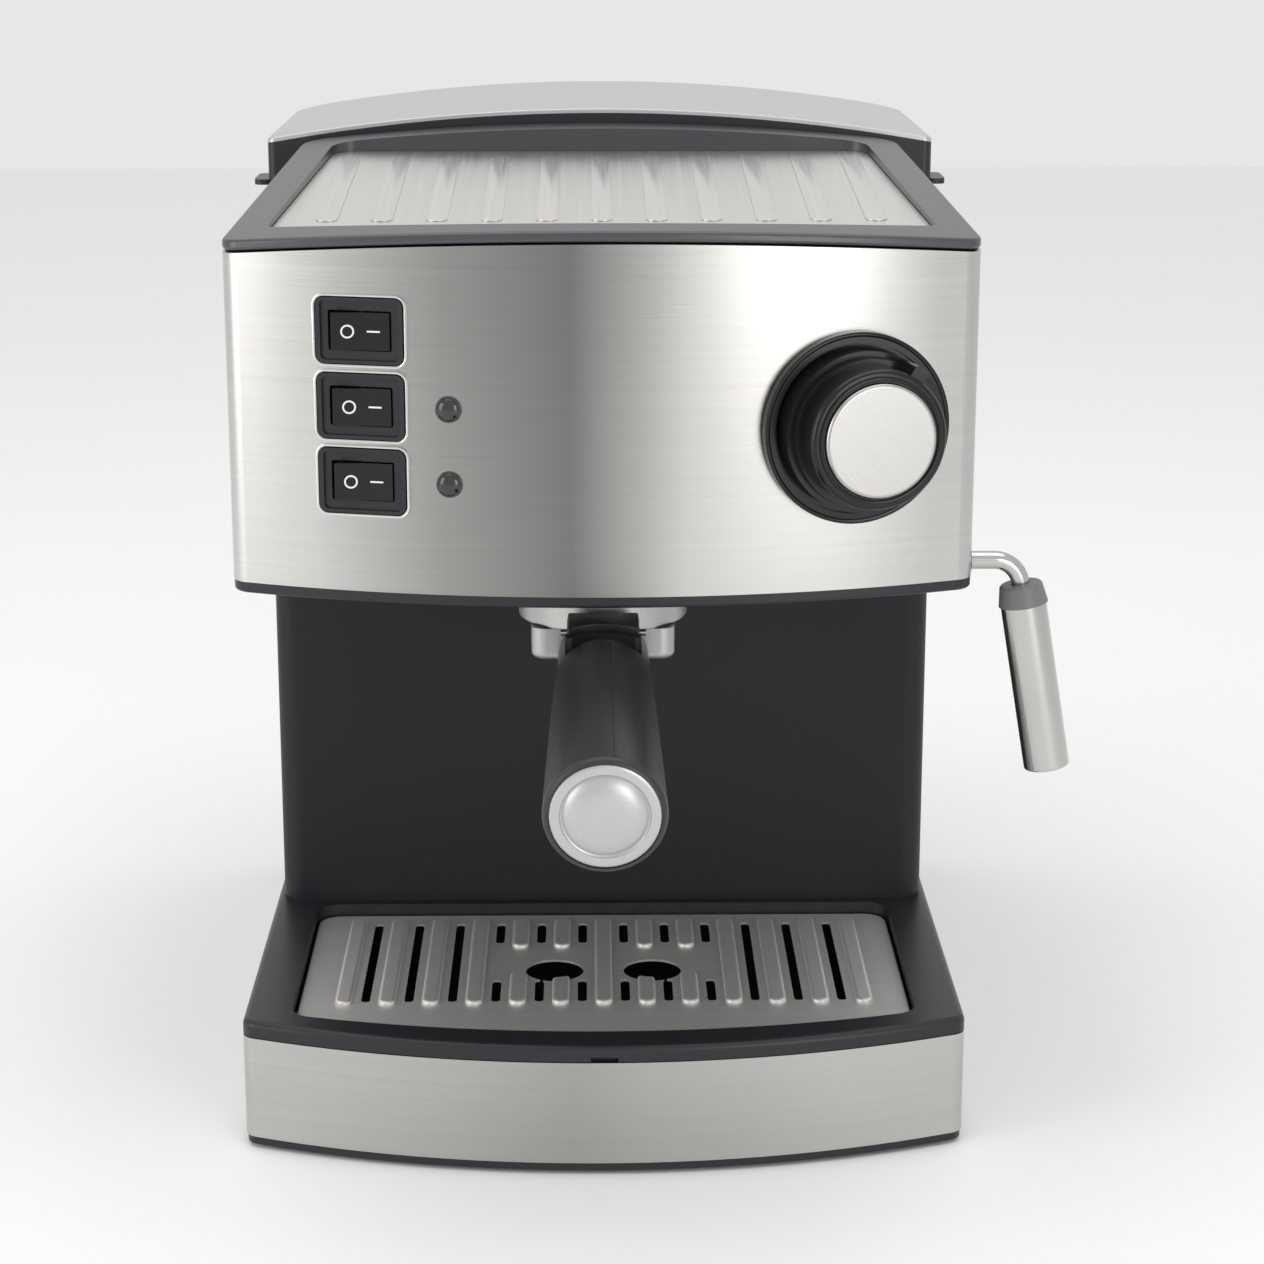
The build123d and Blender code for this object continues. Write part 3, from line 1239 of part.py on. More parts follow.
with BuildPart() as lid_cover:
    add(under_lid(0))
    add(under_lid(COVER_T), mode=Mode.SUBTRACT)
    fillet(lid_cover.edges().group_by(Axis.Z)[-1], 0.6)
keep(lid_cover, "lid_cover")

with BuildPart() as lid_hinge_pins:
    with BuildSketch(Plane.YZ.offset(HINGE_X - 2.5)):
        with Locations((HINGE_Y, HINGE_Z)):
            Circle(HINGE_R)
    extrude(amount=9)
    mirror(about=Plane.YZ)
keep(lid_hinge_pins, "lid_hinge_pins")

# ======================= wiring and fasteners =======================
with BuildPart() as terminal_block:
    with BuildSketch(Plane.XZ.offset(-BASE_REAR + WALL)):
        with Locations((INLET_X, INLET_Z + 30)):
            RectangleRounded(34, 16, 2)
    extrude(amount=12)
    with BuildSketch(Plane.XZ.offset(-BASE_REAR + WALL + 12)):
        with Locations((INLET_X, INLET_Z + 30)):
            with GridLocations(10, 0, 3, 1):
                Circle(2.2)
    extrude(amount=-4, mode=Mode.SUBTRACT)
keep(terminal_block, "terminal_block")

with BuildPart() as base_screws:
    with BuildSketch(Plane.XY.offset(FOOT_H + 0.3)):
        with Locations(*SCREWS):
            Circle(3.2)
    extrude(amount=TRIM_TOP - FOOT_H - 0.3)
    with BuildSketch(Plane.XY.offset(FOOT_H + 0.3)):
        with Locations(*SCREWS):
            Rectangle(0.8, 3.4)
            Rectangle(3.4, 0.8)
    extrude(amount=1.2, mode=Mode.SUBTRACT)
keep(base_screws, "base_screws")
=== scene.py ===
"""Looks of a pump espresso machine, built around its CAD frame."""

import json
import math

import bpy
from bpy.props import FloatProperty, FloatVectorProperty, IntProperty, PointerProperty
from mathutils import Matrix, Vector


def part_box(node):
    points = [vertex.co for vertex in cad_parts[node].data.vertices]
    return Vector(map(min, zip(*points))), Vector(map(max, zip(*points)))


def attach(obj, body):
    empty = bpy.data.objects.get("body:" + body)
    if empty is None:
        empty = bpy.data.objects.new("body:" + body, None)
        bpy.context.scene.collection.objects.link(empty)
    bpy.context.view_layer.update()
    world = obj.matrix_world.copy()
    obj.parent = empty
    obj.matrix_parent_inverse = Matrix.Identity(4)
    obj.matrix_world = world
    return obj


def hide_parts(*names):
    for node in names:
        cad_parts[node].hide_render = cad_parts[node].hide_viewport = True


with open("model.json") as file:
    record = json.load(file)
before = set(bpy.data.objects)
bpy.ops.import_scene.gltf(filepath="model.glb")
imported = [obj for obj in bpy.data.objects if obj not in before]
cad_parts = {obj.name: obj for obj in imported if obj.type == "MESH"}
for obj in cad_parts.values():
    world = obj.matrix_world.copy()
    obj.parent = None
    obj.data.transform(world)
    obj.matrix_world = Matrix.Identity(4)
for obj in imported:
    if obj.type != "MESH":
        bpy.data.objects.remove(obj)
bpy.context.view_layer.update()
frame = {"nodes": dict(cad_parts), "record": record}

bl_info = {
    "name": "Espresso Machine",
    "version": (1, 0, 0),
    "blender": (4, 5, 0),
    "location": "View3D > Sidebar > Espresso",
    "description": "Finishes, small parts and studio for a pump espresso machine",
    "category": "Object",
}

MM = 0.001
EDGE_SHARE = 0.3  # rounding of a thin piece's edges, as a share of its thickness
RING_STEPS = 96  # sides of the large rings
RING_EDGE = 0.45  # the same share on the rings of the knob
ROCKERS = ("rocker_power", "rocker_brew", "rocker_steam")
SLOTS = {part["node"]: part["material_slot"] for part in frame["record"]["subparts"]}


def palette():
    return bpy.context.scene.espresso_finishes


# ---- places worked out from the frame ----
def middle(node):
    """The middle of a node's box."""
    low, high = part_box(node)
    return (low + high) / 2


def half_height(node):
    low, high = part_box(node)
    return (high.z - low.z) / 2


def panel_frame(x, z, out=0.0):
    """A place on the bowed front panel: x to the right, y up, z outwards."""
    sizes = bpy.context.scene.espresso_sizes
    bow = sizes.panel_bow
    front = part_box("front_panel")[0].y
    angle = math.asin(x / bow)
    right = Vector((math.cos(angle), math.sin(angle), 0))
    outward = Vector((math.sin(angle), -math.cos(angle), 0))
    centre = Vector((0, front + bow, z))
    return placed(centre + outward * (bow + out), right, Vector((0, 0, 1)), outward)


def handle_axes():
    """The handle's direction from its root, and the direction up from it."""
    slope = bpy.context.scene.espresso_sizes.handle_slope
    axis = Vector((0, -math.cos(slope), -math.sin(slope)))
    return axis, Vector((0, -math.sin(slope), math.cos(slope)))


def on_handle(along, out, turn=0.0):
    """A place on the handle: y along it from its root, z out from its axis, turned round it."""
    sizes = bpy.context.scene.espresso_sizes
    axis, outward = handle_axes()
    outward.rotate(Matrix.Rotation(turn, 4, axis))
    origin = middle("handle_end_cap") - axis * (sizes.handle_length - along) + outward * out
    return placed(origin, axis.cross(outward), axis, outward)


def placed(origin, right, up, outward):
    """The matrix of a frame from its origin and axes."""
    turn = Matrix((right, up, outward)).transposed().to_4x4()
    return Matrix.Translation(origin) @ turn


# ---- modelling steps ----
def start(name, add, **sizes):
    """Adds a primitive with nothing else selected and opens it for shaping."""
    if bpy.context.object and bpy.context.object.mode != "OBJECT":
        bpy.ops.object.mode_set(mode="OBJECT")
    bpy.ops.object.select_all(action="DESELECT")
    add(**sizes)
    piece = bpy.context.object
    piece.name = name
    piece.data.name = name
    bpy.ops.object.mode_set(mode="EDIT")
    bpy.ops.mesh.select_all(action="SELECT")
    return piece


def close(piece, bevel=0.0, smooth=math.radians(35)):
    """Turns the faces outwards, leaves edit mode and rounds the sharp edges."""
    bpy.ops.mesh.select_all(action="SELECT")
    bpy.ops.mesh.remove_doubles(threshold=0.00001)
    bpy.ops.mesh.normals_make_consistent(inside=False)
    bpy.ops.object.mode_set(mode="OBJECT")
    if bevel:
        rounding = piece.modifiers.new("rounding", "BEVEL")
        rounding.width = bevel
        rounding.segments = 2
        rounding.angle_limit = math.radians(40)
        bpy.ops.object.modifier_apply(modifier=rounding.name)
    bpy.ops.object.shade_smooth_by_angle(angle=smooth)
    return piece


def settle(piece, matrix):
    """Puts the piece in its place, in its mesh."""
    bpy.ops.object.select_all(action="DESELECT")
    piece.select_set(True)
    bpy.context.view_layer.objects.active = piece
    piece.matrix_world = matrix
    bpy.ops.object.transform_apply(location=True, rotation=True, scale=True)
    return piece


def dress(piece, body, finish):
    """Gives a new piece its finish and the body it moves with."""
    piece.data.materials.clear()
    piece.data.materials.append(FINISHES[finish]())
    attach(piece, body)
    return piece


def join(pieces, name):
    """Makes one piece of several."""
    bpy.ops.object.select_all(action="DESELECT")
    for piece in pieces:
        piece.select_set(True)
    bpy.context.view_layer.objects.active = pieces[0]
    bpy.ops.object.join()
    joined = bpy.context.object
    joined.name = name
    joined.data.name = name
    return joined


def raised(height):
    """Draws the selected faces up by a height."""
    bpy.ops.mesh.extrude_region_move(TRANSFORM_OT_translate={"value": (0, 0, height)})


def rimmed(rim, thick):
    """Cuts the middle out of a flat face and raises the rim that is left."""
    bpy.ops.mesh.inset(thickness=rim)
    bpy.ops.mesh.delete(type="FACE")
    bpy.ops.mesh.select_all(action="SELECT")
    raised(thick)


def flat_circle(name, radius, around):
    return start(
        name, bpy.ops.mesh.primitive_circle_add, vertices=around, radius=radius, fill_type="NGON"
    )


def flat_rectangle(name, width, height, corner, steps):
    """A flat rectangle round the origin, with rounded corners."""
    piece = start(name, bpy.ops.mesh.primitive_plane_add, size=1)
    bpy.ops.transform.resize(value=(width, height, 1))
    bpy.ops.mesh.bevel(offset=corner, segments=steps, affect="VERTICES")
    return piece


def rounded_ring(name, width, height, corner, rim, thick):
    """A flat rounded frame, rim wide and thick high, round the origin."""
    piece = flat_rectangle(name, width, height, corner, 6)
    rimmed(rim, thick)
    return close(piece, rim * EDGE_SHARE)


def round_ring(name, radius, rim, thick, around=48, bevel=EDGE_SHARE):
    """A flat round ring, rim wide and thick high, round the origin."""
    piece = flat_circle(name, radius, around)
    rimmed(rim, thick)
    return close(piece, min(rim, thick) * bevel)


def stepped_disc(name, radius, depth, steps):
    """A disc, depth thick, whose front is drawn in and raised step by step, in millimetres."""
    piece = flat_circle(name, radius, 64)
    raised(depth)
    for inwards, rise in steps:
        bpy.ops.mesh.inset(thickness=inwards * MM)
        bpy.ops.transform.translate(value=(0, 0, rise * MM))
    return close(piece, smooth=math.radians(50))


def bar(name, width, height, thick, corner):
    """A flat rounded bar lying on the origin."""
    piece = flat_rectangle(name, width, height, corner, 4)
    raised(thick)
    return close(piece, thick * EDGE_SHARE)


# ---- materials ----
class Signal:
    """A socket's value in a material; arithmetic on it adds Math nodes."""

    def __init__(self, finish, socket):
        self.finish = finish
        self.socket = socket

    def _maths(self, operation, first, second):
        node = self.finish.node(
            "ShaderNodeMath", {"operation": operation}, {0: first, 1: second}
        )
        return Signal(self.finish, node.outputs[0])

    def __add__(self, other):
        return self._maths("ADD", self, other)

    __radd__ = __add__

    def __sub__(self, other):
        return self._maths("SUBTRACT", self, other)

    def __rsub__(self, other):
        return self._maths("SUBTRACT", other, self)

    def __mul__(self, other):
        return self._maths("MULTIPLY", self, other)

    __rmul__ = __mul__


class Finish:
    """A material under construction."""

    def __init__(self, name):
        self.material = bpy.data.materials.new(name)
        self.material.use_nodes = True
        self.tree = self.material.node_tree
        self.tree.nodes.clear()
        self.place = self.node("ShaderNodeTexCoord").outputs["Object"]

    def node(self, kind, settings=None, sockets=None):
        """Adds a node, sets its settings first and then its sockets' values or links."""
        node = self.tree.nodes.new(kind)
        for key, value in (settings or {}).items():
            if key == "stops":
                ramp = node.color_ramp
                while len(ramp.elements) < len(value):
                    ramp.elements.new(0.5)
                for element, (position, colour) in zip(ramp.elements, value):
                    element.position = position
                    element.color = colour
            else:
                setattr(node, key, value)
        for key, value in (sockets or {}).items():
            if isinstance(value, Signal):
                value = value.socket
            if isinstance(value, bpy.types.NodeSocket):
                self.tree.links.new(value, node.inputs[key])
            else:
                node.inputs[key].default_value = value
        return node

    def stretched(self, scale, turn=(0.0, 0.0, 0.0)):
        """Object coordinates turned, then scaled along each axis."""
        turned = self.node(
            "ShaderNodeMapping", {}, {"Vector": self.place, "Rotation": turn}
        )
        scaled = self.node(
            "ShaderNodeVectorMath",
            {"operation": "MULTIPLY"},
            {0: turned.outputs[0], 1: scale},
        )
        return scaled.outputs[0]

    def noise(self, scale, detail=2.0, vector=None, roughness=0.5):
        """Noise from 0 to 1, scale to the metre."""
        node = self.node(
            "ShaderNodeTexNoise",
            {},
            {
                "Vector": vector or self.place,
                "Scale": scale,
                "Detail": detail,
                "Roughness": roughness,
            },
        )
        return Signal(self, node.outputs[0])

    def streaks(self, scale, wider, turn=(0.0, 0.0, 0.0)):
        """Fine and wide streaks, each along the axis of its least scale."""
        fine = self.noise(1.0, 3.0, self.stretched(scale, turn), 0.6)
        return fine, self.noise(1.0, 1.0, self.stretched(wider, turn))

    def ground(self, fine, wide, colour, rough, metal=1.0):
        """Ends the material as steel with streaks in its colour, sheen and surface."""
        cloud = self.noise(9.0, 2.0)
        return self.surface(
            Base_Color=colour,
            Metallic=metal,
            Roughness=fine * 0.14 + cloud * 0.06 + rough,
            Normal=self.bump(fine + wide * 0.5, 0.000012, 0.55),
        )

    def blended(self, factor, first, second):
        """A colour between two, by a factor."""
        node = self.node(
            "ShaderNodeMix",
            {"data_type": "RGBA"},
            {0: factor, 6: (*first, 1.0), 7: (*second, 1.0)},
        )
        return node.outputs[2]

    def bump(self, height, distance, strength=1.0):
        """A normal from a height, distance deep in metres."""
        node = self.node(
            "ShaderNodeBump",
            {},
            {"Height": height, "Distance": distance, "Strength": strength},
        )
        return node.outputs[0]

    def surface(self, **sockets):
        """Ends the material with a Principled shader."""
        named = {key.replace("_", " "): value for key, value in sockets.items()}
        shader = self.node("ShaderNodeBsdfPrincipled", {}, named)
        self.node("ShaderNodeOutputMaterial", {}, {"Surface": shader.outputs[0]})
        return self.material


REFLECTION_BANDS_TO_A_METRE = 4.0  # the bands of painted reflection below fill a quarter of a metre, centred
# Place across the bands, then tone of the painted reflection.
# Painted reflection: softer light and dark upright bands on the base band, darkest just left of
# its middle.
BASE_PAINTED_REFLECTION = ((0.0, 1.1), (0.3, 0.98), (0.46, 0.85), (0.55, 0.95), (0.8, 1.08), (1.0, 1.1))
# Painted reflection: light and dark upright bands on the head panel, darkest just left of its
# middle.
HEAD_PAINTED_REFLECTION = (
    (0.0, 1.25), (0.14, 1.15), (0.3, 0.68), (0.46, 0.42), (0.51, 0.68),
    (0.6, 1.08), (0.8, 1.12), (0.92, 1.05), (1.0, 1.15),
)


def shade(colour, factor):
    """A colour made darker or lighter."""
    return tuple(min(1.0, part * factor) for part in colour)


def brushed(name, colour, scale, turn=(0.0, 0.0, 0.0), rough=0.17, metal=1.0):
    """Steel with fine straight grain; the grain runs along the axis of least scale."""
    finish = Finish(name)
    fine, wide = finish.streaks(scale, tuple(part * 0.22 for part in scale), turn)
    tint = finish.blended(fine * 0.6 + wide * 0.4, shade(colour, 0.86), shade(colour, 1.08))
    return finish.ground(fine, wide, tint, rough, metal)


def moulded(name, colour, rough, grain=900.0, depth=0.00002, coat=0.0, wear=0.06, gloss=0.4):
    """Moulded plastic with a fine eroded grain and slight unevenness of sheen."""
    finish = Finish(name)
    fine = finish.noise(grain, 2.0)
    cloud = finish.noise(14.0, 3.0)
    return finish.surface(
        Base_Color=finish.blended(cloud, shade(colour, 0.86), shade(colour, 1.14)),
        Roughness=fine * 0.08 + cloud * wear + (rough - 0.04 - wear / 2),
        Specular_IOR_Level=gloss,
        Coat_Weight=coat,
        Coat_Roughness=0.05,
        Normal=finish.bump(fine, depth, 0.5),
    )


def reflection_banded_steel(name, bands):
    """Level-brushed steel with broad soft upright bands of painted reflection in its colour."""
    finish = Finish(name)
    fine, wide = finish.streaks((6.0, 6.0, 2600.0), (1.4, 1.4, 560.0))
    across = finish.node("ShaderNodeSeparateXYZ", {}, {0: finish.place}).outputs["X"]
    band = finish.node(
        "ShaderNodeValToRGB",
        {"stops": [(at, (*shade(palette().steel, tone), 1.0)) for at, tone in bands]},
        {0: Signal(finish, across) * REFLECTION_BANDS_TO_A_METRE + 0.5},
    )
    # Painted reflection bands times the real tone of the brushed grain.
    reflection_and_grain = finish.node(
        "ShaderNodeMix",
        {"data_type": "RGBA", "blend_type": "MULTIPLY"},
        {
            0: 1.0,
            6: band.outputs[0],
            7: finish.blended(fine * 0.6 + wide * 0.4, (0.86,) * 3, (1.08,) * 3),
        },
    )
    return finish.ground(fine, wide, reflection_and_grain.outputs[2], 0.2)


def panel_steel():
    # Head panel steel with painted reflection bands in its colour.
    return reflection_banded_steel("head panel steel, brushed level, painted reflection", HEAD_PAINTED_REFLECTION)


def band_steel():
    # Base band steel with painted reflection bands in its colour.
    return reflection_banded_steel("base band steel, brushed level, painted reflection", BASE_PAINTED_REFLECTION)


def plate_steel():
    """The cup plate and its ribs: brushed from front to back."""
    return brushed(
        "cup plate steel", shade(palette().steel, 1.5), (1400.0, 14.0, 14.0), rough=0.24
    )


def grate_steel():
    return brushed(
        "grate steel", shade(palette().steel, 1.5), (8.0, 1900.0, 60.0), rough=0.4, metal=0.8
    )


def cap_steel():
    """The knob's cap: brushed on the slant."""
    return brushed(
        "knob cap steel",
        shade(palette().steel, 0.95),
        (30.0, 30.0, 2600.0),
        (0.0, math.radians(-52), 0.0),
        rough=0.2,
    )


def drawn_steel():
    """Drawn steel of the window lips, its colour painted lighter than the panel steel as a painted
    highlight.
    """
    finish = Finish("drawn steel, painted highlight")
    fine = finish.noise(1500.0, 2.0)
    cloud = finish.noise(60.0, 2.0)
    return finish.surface(
        # Pale colour: painted highlight on the lips; the low roughness is their real smooth
        # finish.
        Base_Color=finish.blended(cloud, (0.62, 0.61, 0.6), (0.74, 0.73, 0.72)),
        Metallic=1.0,
        Roughness=fine * 0.08 + cloud * 0.06 + 0.1,
        Normal=finish.bump(fine, 0.000004),
    )


def tube_steel():
    """Polished steel of the wand and small parts, with faint lines round it."""
    finish = Finish("polished tube steel")
    fine = finish.noise(1.0, 2.0, finish.stretched((60.0, 60.0, 3000.0)))
    cloud = finish.noise(40.0, 2.0)
    return finish.surface(
        Base_Color=finish.blended(
            cloud, shade(palette().steel, 0.95), shade(palette().steel, 1.15)
        ),
        Metallic=1.0,
        Roughness=fine * 0.07 + cloud * 0.05 + 0.13,
        Normal=finish.bump(fine, 0.000005, 0.5),
    )


def casing_black():
    return moulded("casing, satin black", palette().casing, 0.36, depth=0.00003)


def frame_black():
    """Black of the top frame, with more sheen than the casing, and its colour painted lighter than
    the casing's as painted sheen.
    """
    # Colour 1.8 times the casing's is painted sheen; gloss 0.9 gives the real sheen.
    return moulded(
        "top frame, sheened black, painted lighter as sheen", shade(palette().casing, 1.8), 0.3, 900.0, 0.00001, gloss=0.9
    )


def wall_black():
    return moulded("splash wall, fine matt", palette().wall, 0.5, 1300.0, 0.00004, gloss=0.3)


def gloss_black():
    return moulded(
        "controls, gloss black", palette().gloss, 0.2, 300.0, 0.000004, 0.12, 0.04, 0.32
    )


def handle_black():
    return moulded("handle, smooth satin", palette().handle, 0.36, 1500.0, 0.000004, wear=0.03)


def lamp_black():
    """Lamp lenses: nearly black when unlit, with a deep red tint."""
    finish = Finish("lamp lens, unlit")
    fine = finish.noise(500.0, 1.0)
    cloud = finish.noise(150.0, 2.0)
    return finish.surface(
        Base_Color=finish.blended(cloud, (0.006, 0.006, 0.007), (0.02, 0.012, 0.012)),
        Roughness=fine * 0.05 + 0.07,
        Coat_Weight=0.6,
        Coat_Roughness=0.04,
        Normal=finish.bump(fine, 0.000004),
    )


def silver():
    """Satin silver paint with fine metal flake."""
    finish = Finish("silver paint, satin")
    flake = finish.noise(2600.0, 1.0)
    cloud = finish.noise(10.0, 2.0)
    return finish.surface(
        Base_Color=finish.blended(
            flake, shade(palette().silver, 0.9), shade(palette().silver, 1.08)
        ),
        Metallic=0.75,
        Roughness=flake * 0.1 + cloud * 0.05 + 0.29,
        Coat_Weight=0.25,
        Coat_Roughness=0.2,
        Normal=finish.bump(flake, 0.000008, 0.5),
    )


def casting():
    """Die-cast alloy, blasted to a grain."""
    finish = Finish("cast alloy, grained")
    grain = finish.noise(900.0, 3.0, roughness=0.7)
    pits = finish.noise(2300.0, 2.0)
    cloud = finish.noise(45.0, 3.0)
    return finish.surface(
        Base_Color=finish.blended(
            grain * 0.5 + cloud * 0.5,
            shade(palette().casting, 0.72),
            shade(palette().casting, 1.2),
        ),
        Metallic=1.0,
        Roughness=grain * 0.2 + cloud * 0.08 + 0.28,
        Normal=finish.bump(grain * 0.7 + pits * 0.4, 0.00009, 0.6),
    )


def turned_brass():
    finish = Finish("turned brass")
    lines = finish.noise(1.0, 2.0, finish.stretched((300.0, 3000.0, 300.0)))
    cloud = finish.noise(60.0, 3.0)
    return finish.surface(
        Base_Color=finish.blended(cloud, (0.46, 0.31, 0.11), (0.72, 0.52, 0.24)),
        Metallic=1.0,
        Roughness=lines * 0.12 + cloud * 0.08 + 0.2,
        Normal=finish.bump(lines, 0.00001, 0.5),
    )


def copper():
    finish = Finish("drawn copper tube")
    cloud = finish.noise(90.0, 3.0)
    fine = finish.noise(1200.0, 2.0)
    return finish.surface(
        Base_Color=finish.blended(cloud, (0.42, 0.17, 0.09), (0.78, 0.42, 0.28)),
        Metallic=1.0,
        Roughness=cloud * 0.18 + fine * 0.05 + 0.2,
        Normal=finish.bump(fine, 0.000008, 0.5),
    )


def grey_plastic():
    return moulded("grey plastic", palette().grey, 0.42, 800.0, 0.00002)


def rubber():
    finish = Finish("black rubber")
    fine = finish.noise(700.0, 3.0)
    dust = finish.noise(120.0, 3.0)
    return finish.surface(
        Base_Color=finish.blended(dust, (0.014, 0.014, 0.015), (0.045, 0.044, 0.044)),
        Roughness=fine * 0.12 + dust * 0.1 + 0.58,
        Normal=finish.bump(fine, 0.00005, 0.6),
    )


def winding():
    """The pump's wound coil under lacquer."""
    finish = Finish("coil winding")
    turns = finish.node(
        "ShaderNodeTexWave",
        {"bands_direction": "X"},
        {"Vector": finish.place, "Scale": 420.0, "Distortion": 0.6, "Detail": 1.0},
    )
    wires = Signal(finish, turns.outputs["Fac"])
    cloud = finish.noise(60.0, 2.0)
    return finish.surface(
        Base_Color=finish.blended(wires, (0.05, 0.012, 0.006), (0.3, 0.1, 0.04)),
        Roughness=wires * 0.15 + cloud * 0.1 + 0.25,
        Coat_Weight=0.5,
        Normal=finish.bump(wires, 0.0001),
    )


def tube_silicone():
    finish = Finish("milky silicone")
    cloud = finish.noise(70.0, 2.0)
    fine = finish.noise(900.0, 2.0)
    return finish.surface(
        Base_Color=finish.blended(cloud, (0.62, 0.62, 0.58), (0.8, 0.8, 0.76)),
        Roughness=fine * 0.1 + 0.35,
        Subsurface_Weight=0.2,
        Subsurface_Radius=(0.004, 0.004, 0.003),
        Normal=finish.bump(fine, 0.00001, 0.5),
    )


def tank_clear():
    """Smoked see-through plastic of the water tank."""
    finish = Finish("tank, clear smoke")
    cloud = finish.noise(25.0, 2.0)
    fine = finish.noise(400.0, 2.0)
    return finish.surface(
        Base_Color=finish.blended(cloud, shade(palette().tank, 0.92), shade(palette().tank, 1.06)),
        Roughness=fine * 0.06 + cloud * 0.04 + 0.06,
        Alpha=cloud * 0.1 + 0.36,
        IOR=1.49,
        Normal=finish.bump(fine, 0.00001, 0.3),
    )


def mark_white():
    """Printed white of the signs on the switches."""
    finish = Finish("printed white")
    fine = finish.noise(2500.0, 2.0)
    return finish.surface(
        Base_Color=finish.blended(fine, (0.72, 0.72, 0.7), (0.88, 0.88, 0.86)),
        Roughness=fine * 0.1 + 0.4,
        Normal=finish.bump(fine, 0.000004, 0.4),
    )


FINISHES = {
    finish.__name__: finish
    for finish in (
        panel_steel, band_steel, plate_steel, grate_steel, cap_steel, drawn_steel, tube_steel,
        casing_black, frame_black, wall_black, gloss_black, handle_black, lamp_black, silver,
        casting, turned_brass, copper, grey_plastic, rubber, winding, tube_silicone,
        tank_clear, mark_white,
    )
}
BY_SLOT = {
    "rubber": "rubber",
    "black_plastic": "casing_black",
    "dark_plastic": "wall_black",
    "gloss_black": "gloss_black",
    "brushed_steel": "panel_steel",
    "plain_steel": "tube_steel",
    "silver_paint": "silver",
    "cast_aluminium": "casting",
    "brass": "turned_brass",
    "grey_plastic": "grey_plastic",
    "coil": "winding",
    "clear_tank": "tank_clear",
    "silicone": "tube_silicone",
    "copper": "copper",
}
BY_NODE = {
    "base_band": "band_steel",
    "cup_plate": "plate_steel",
    "top_frame": "frame_black",
    "drip_grate": "grate_steel",
    "knob_cap": "cap_steel",
    "lamp_lenses": "lamp_black",
    "handle": "handle_black",
    "thumb_clip": "handle_black",
}


# ---- sizes and colours a user would change ----
def length(name, description, default):
    """A size in metres, given here in millimetres."""
    return FloatProperty(
        name=name, description=description, default=default * MM, min=0.0, unit="LENGTH",
        subtype="DISTANCE", precision=5,
    )


def offset(name, description, default):
    """A place to the right of the middle or left of it, given here in millimetres."""
    return FloatProperty(
        name=name, description=description, default=default * MM, unit="LENGTH",
        subtype="DISTANCE", precision=5,
    )


def angle(name, description, degrees):
    return FloatProperty(
        name=name, description=description, default=math.radians(degrees), unit="ROTATION",
        subtype="ANGLE",
    )


def colour(name, description, default):
    return FloatVectorProperty(
        name=name, description=description, default=default, subtype="COLOR", min=0.0, max=1.0
    )


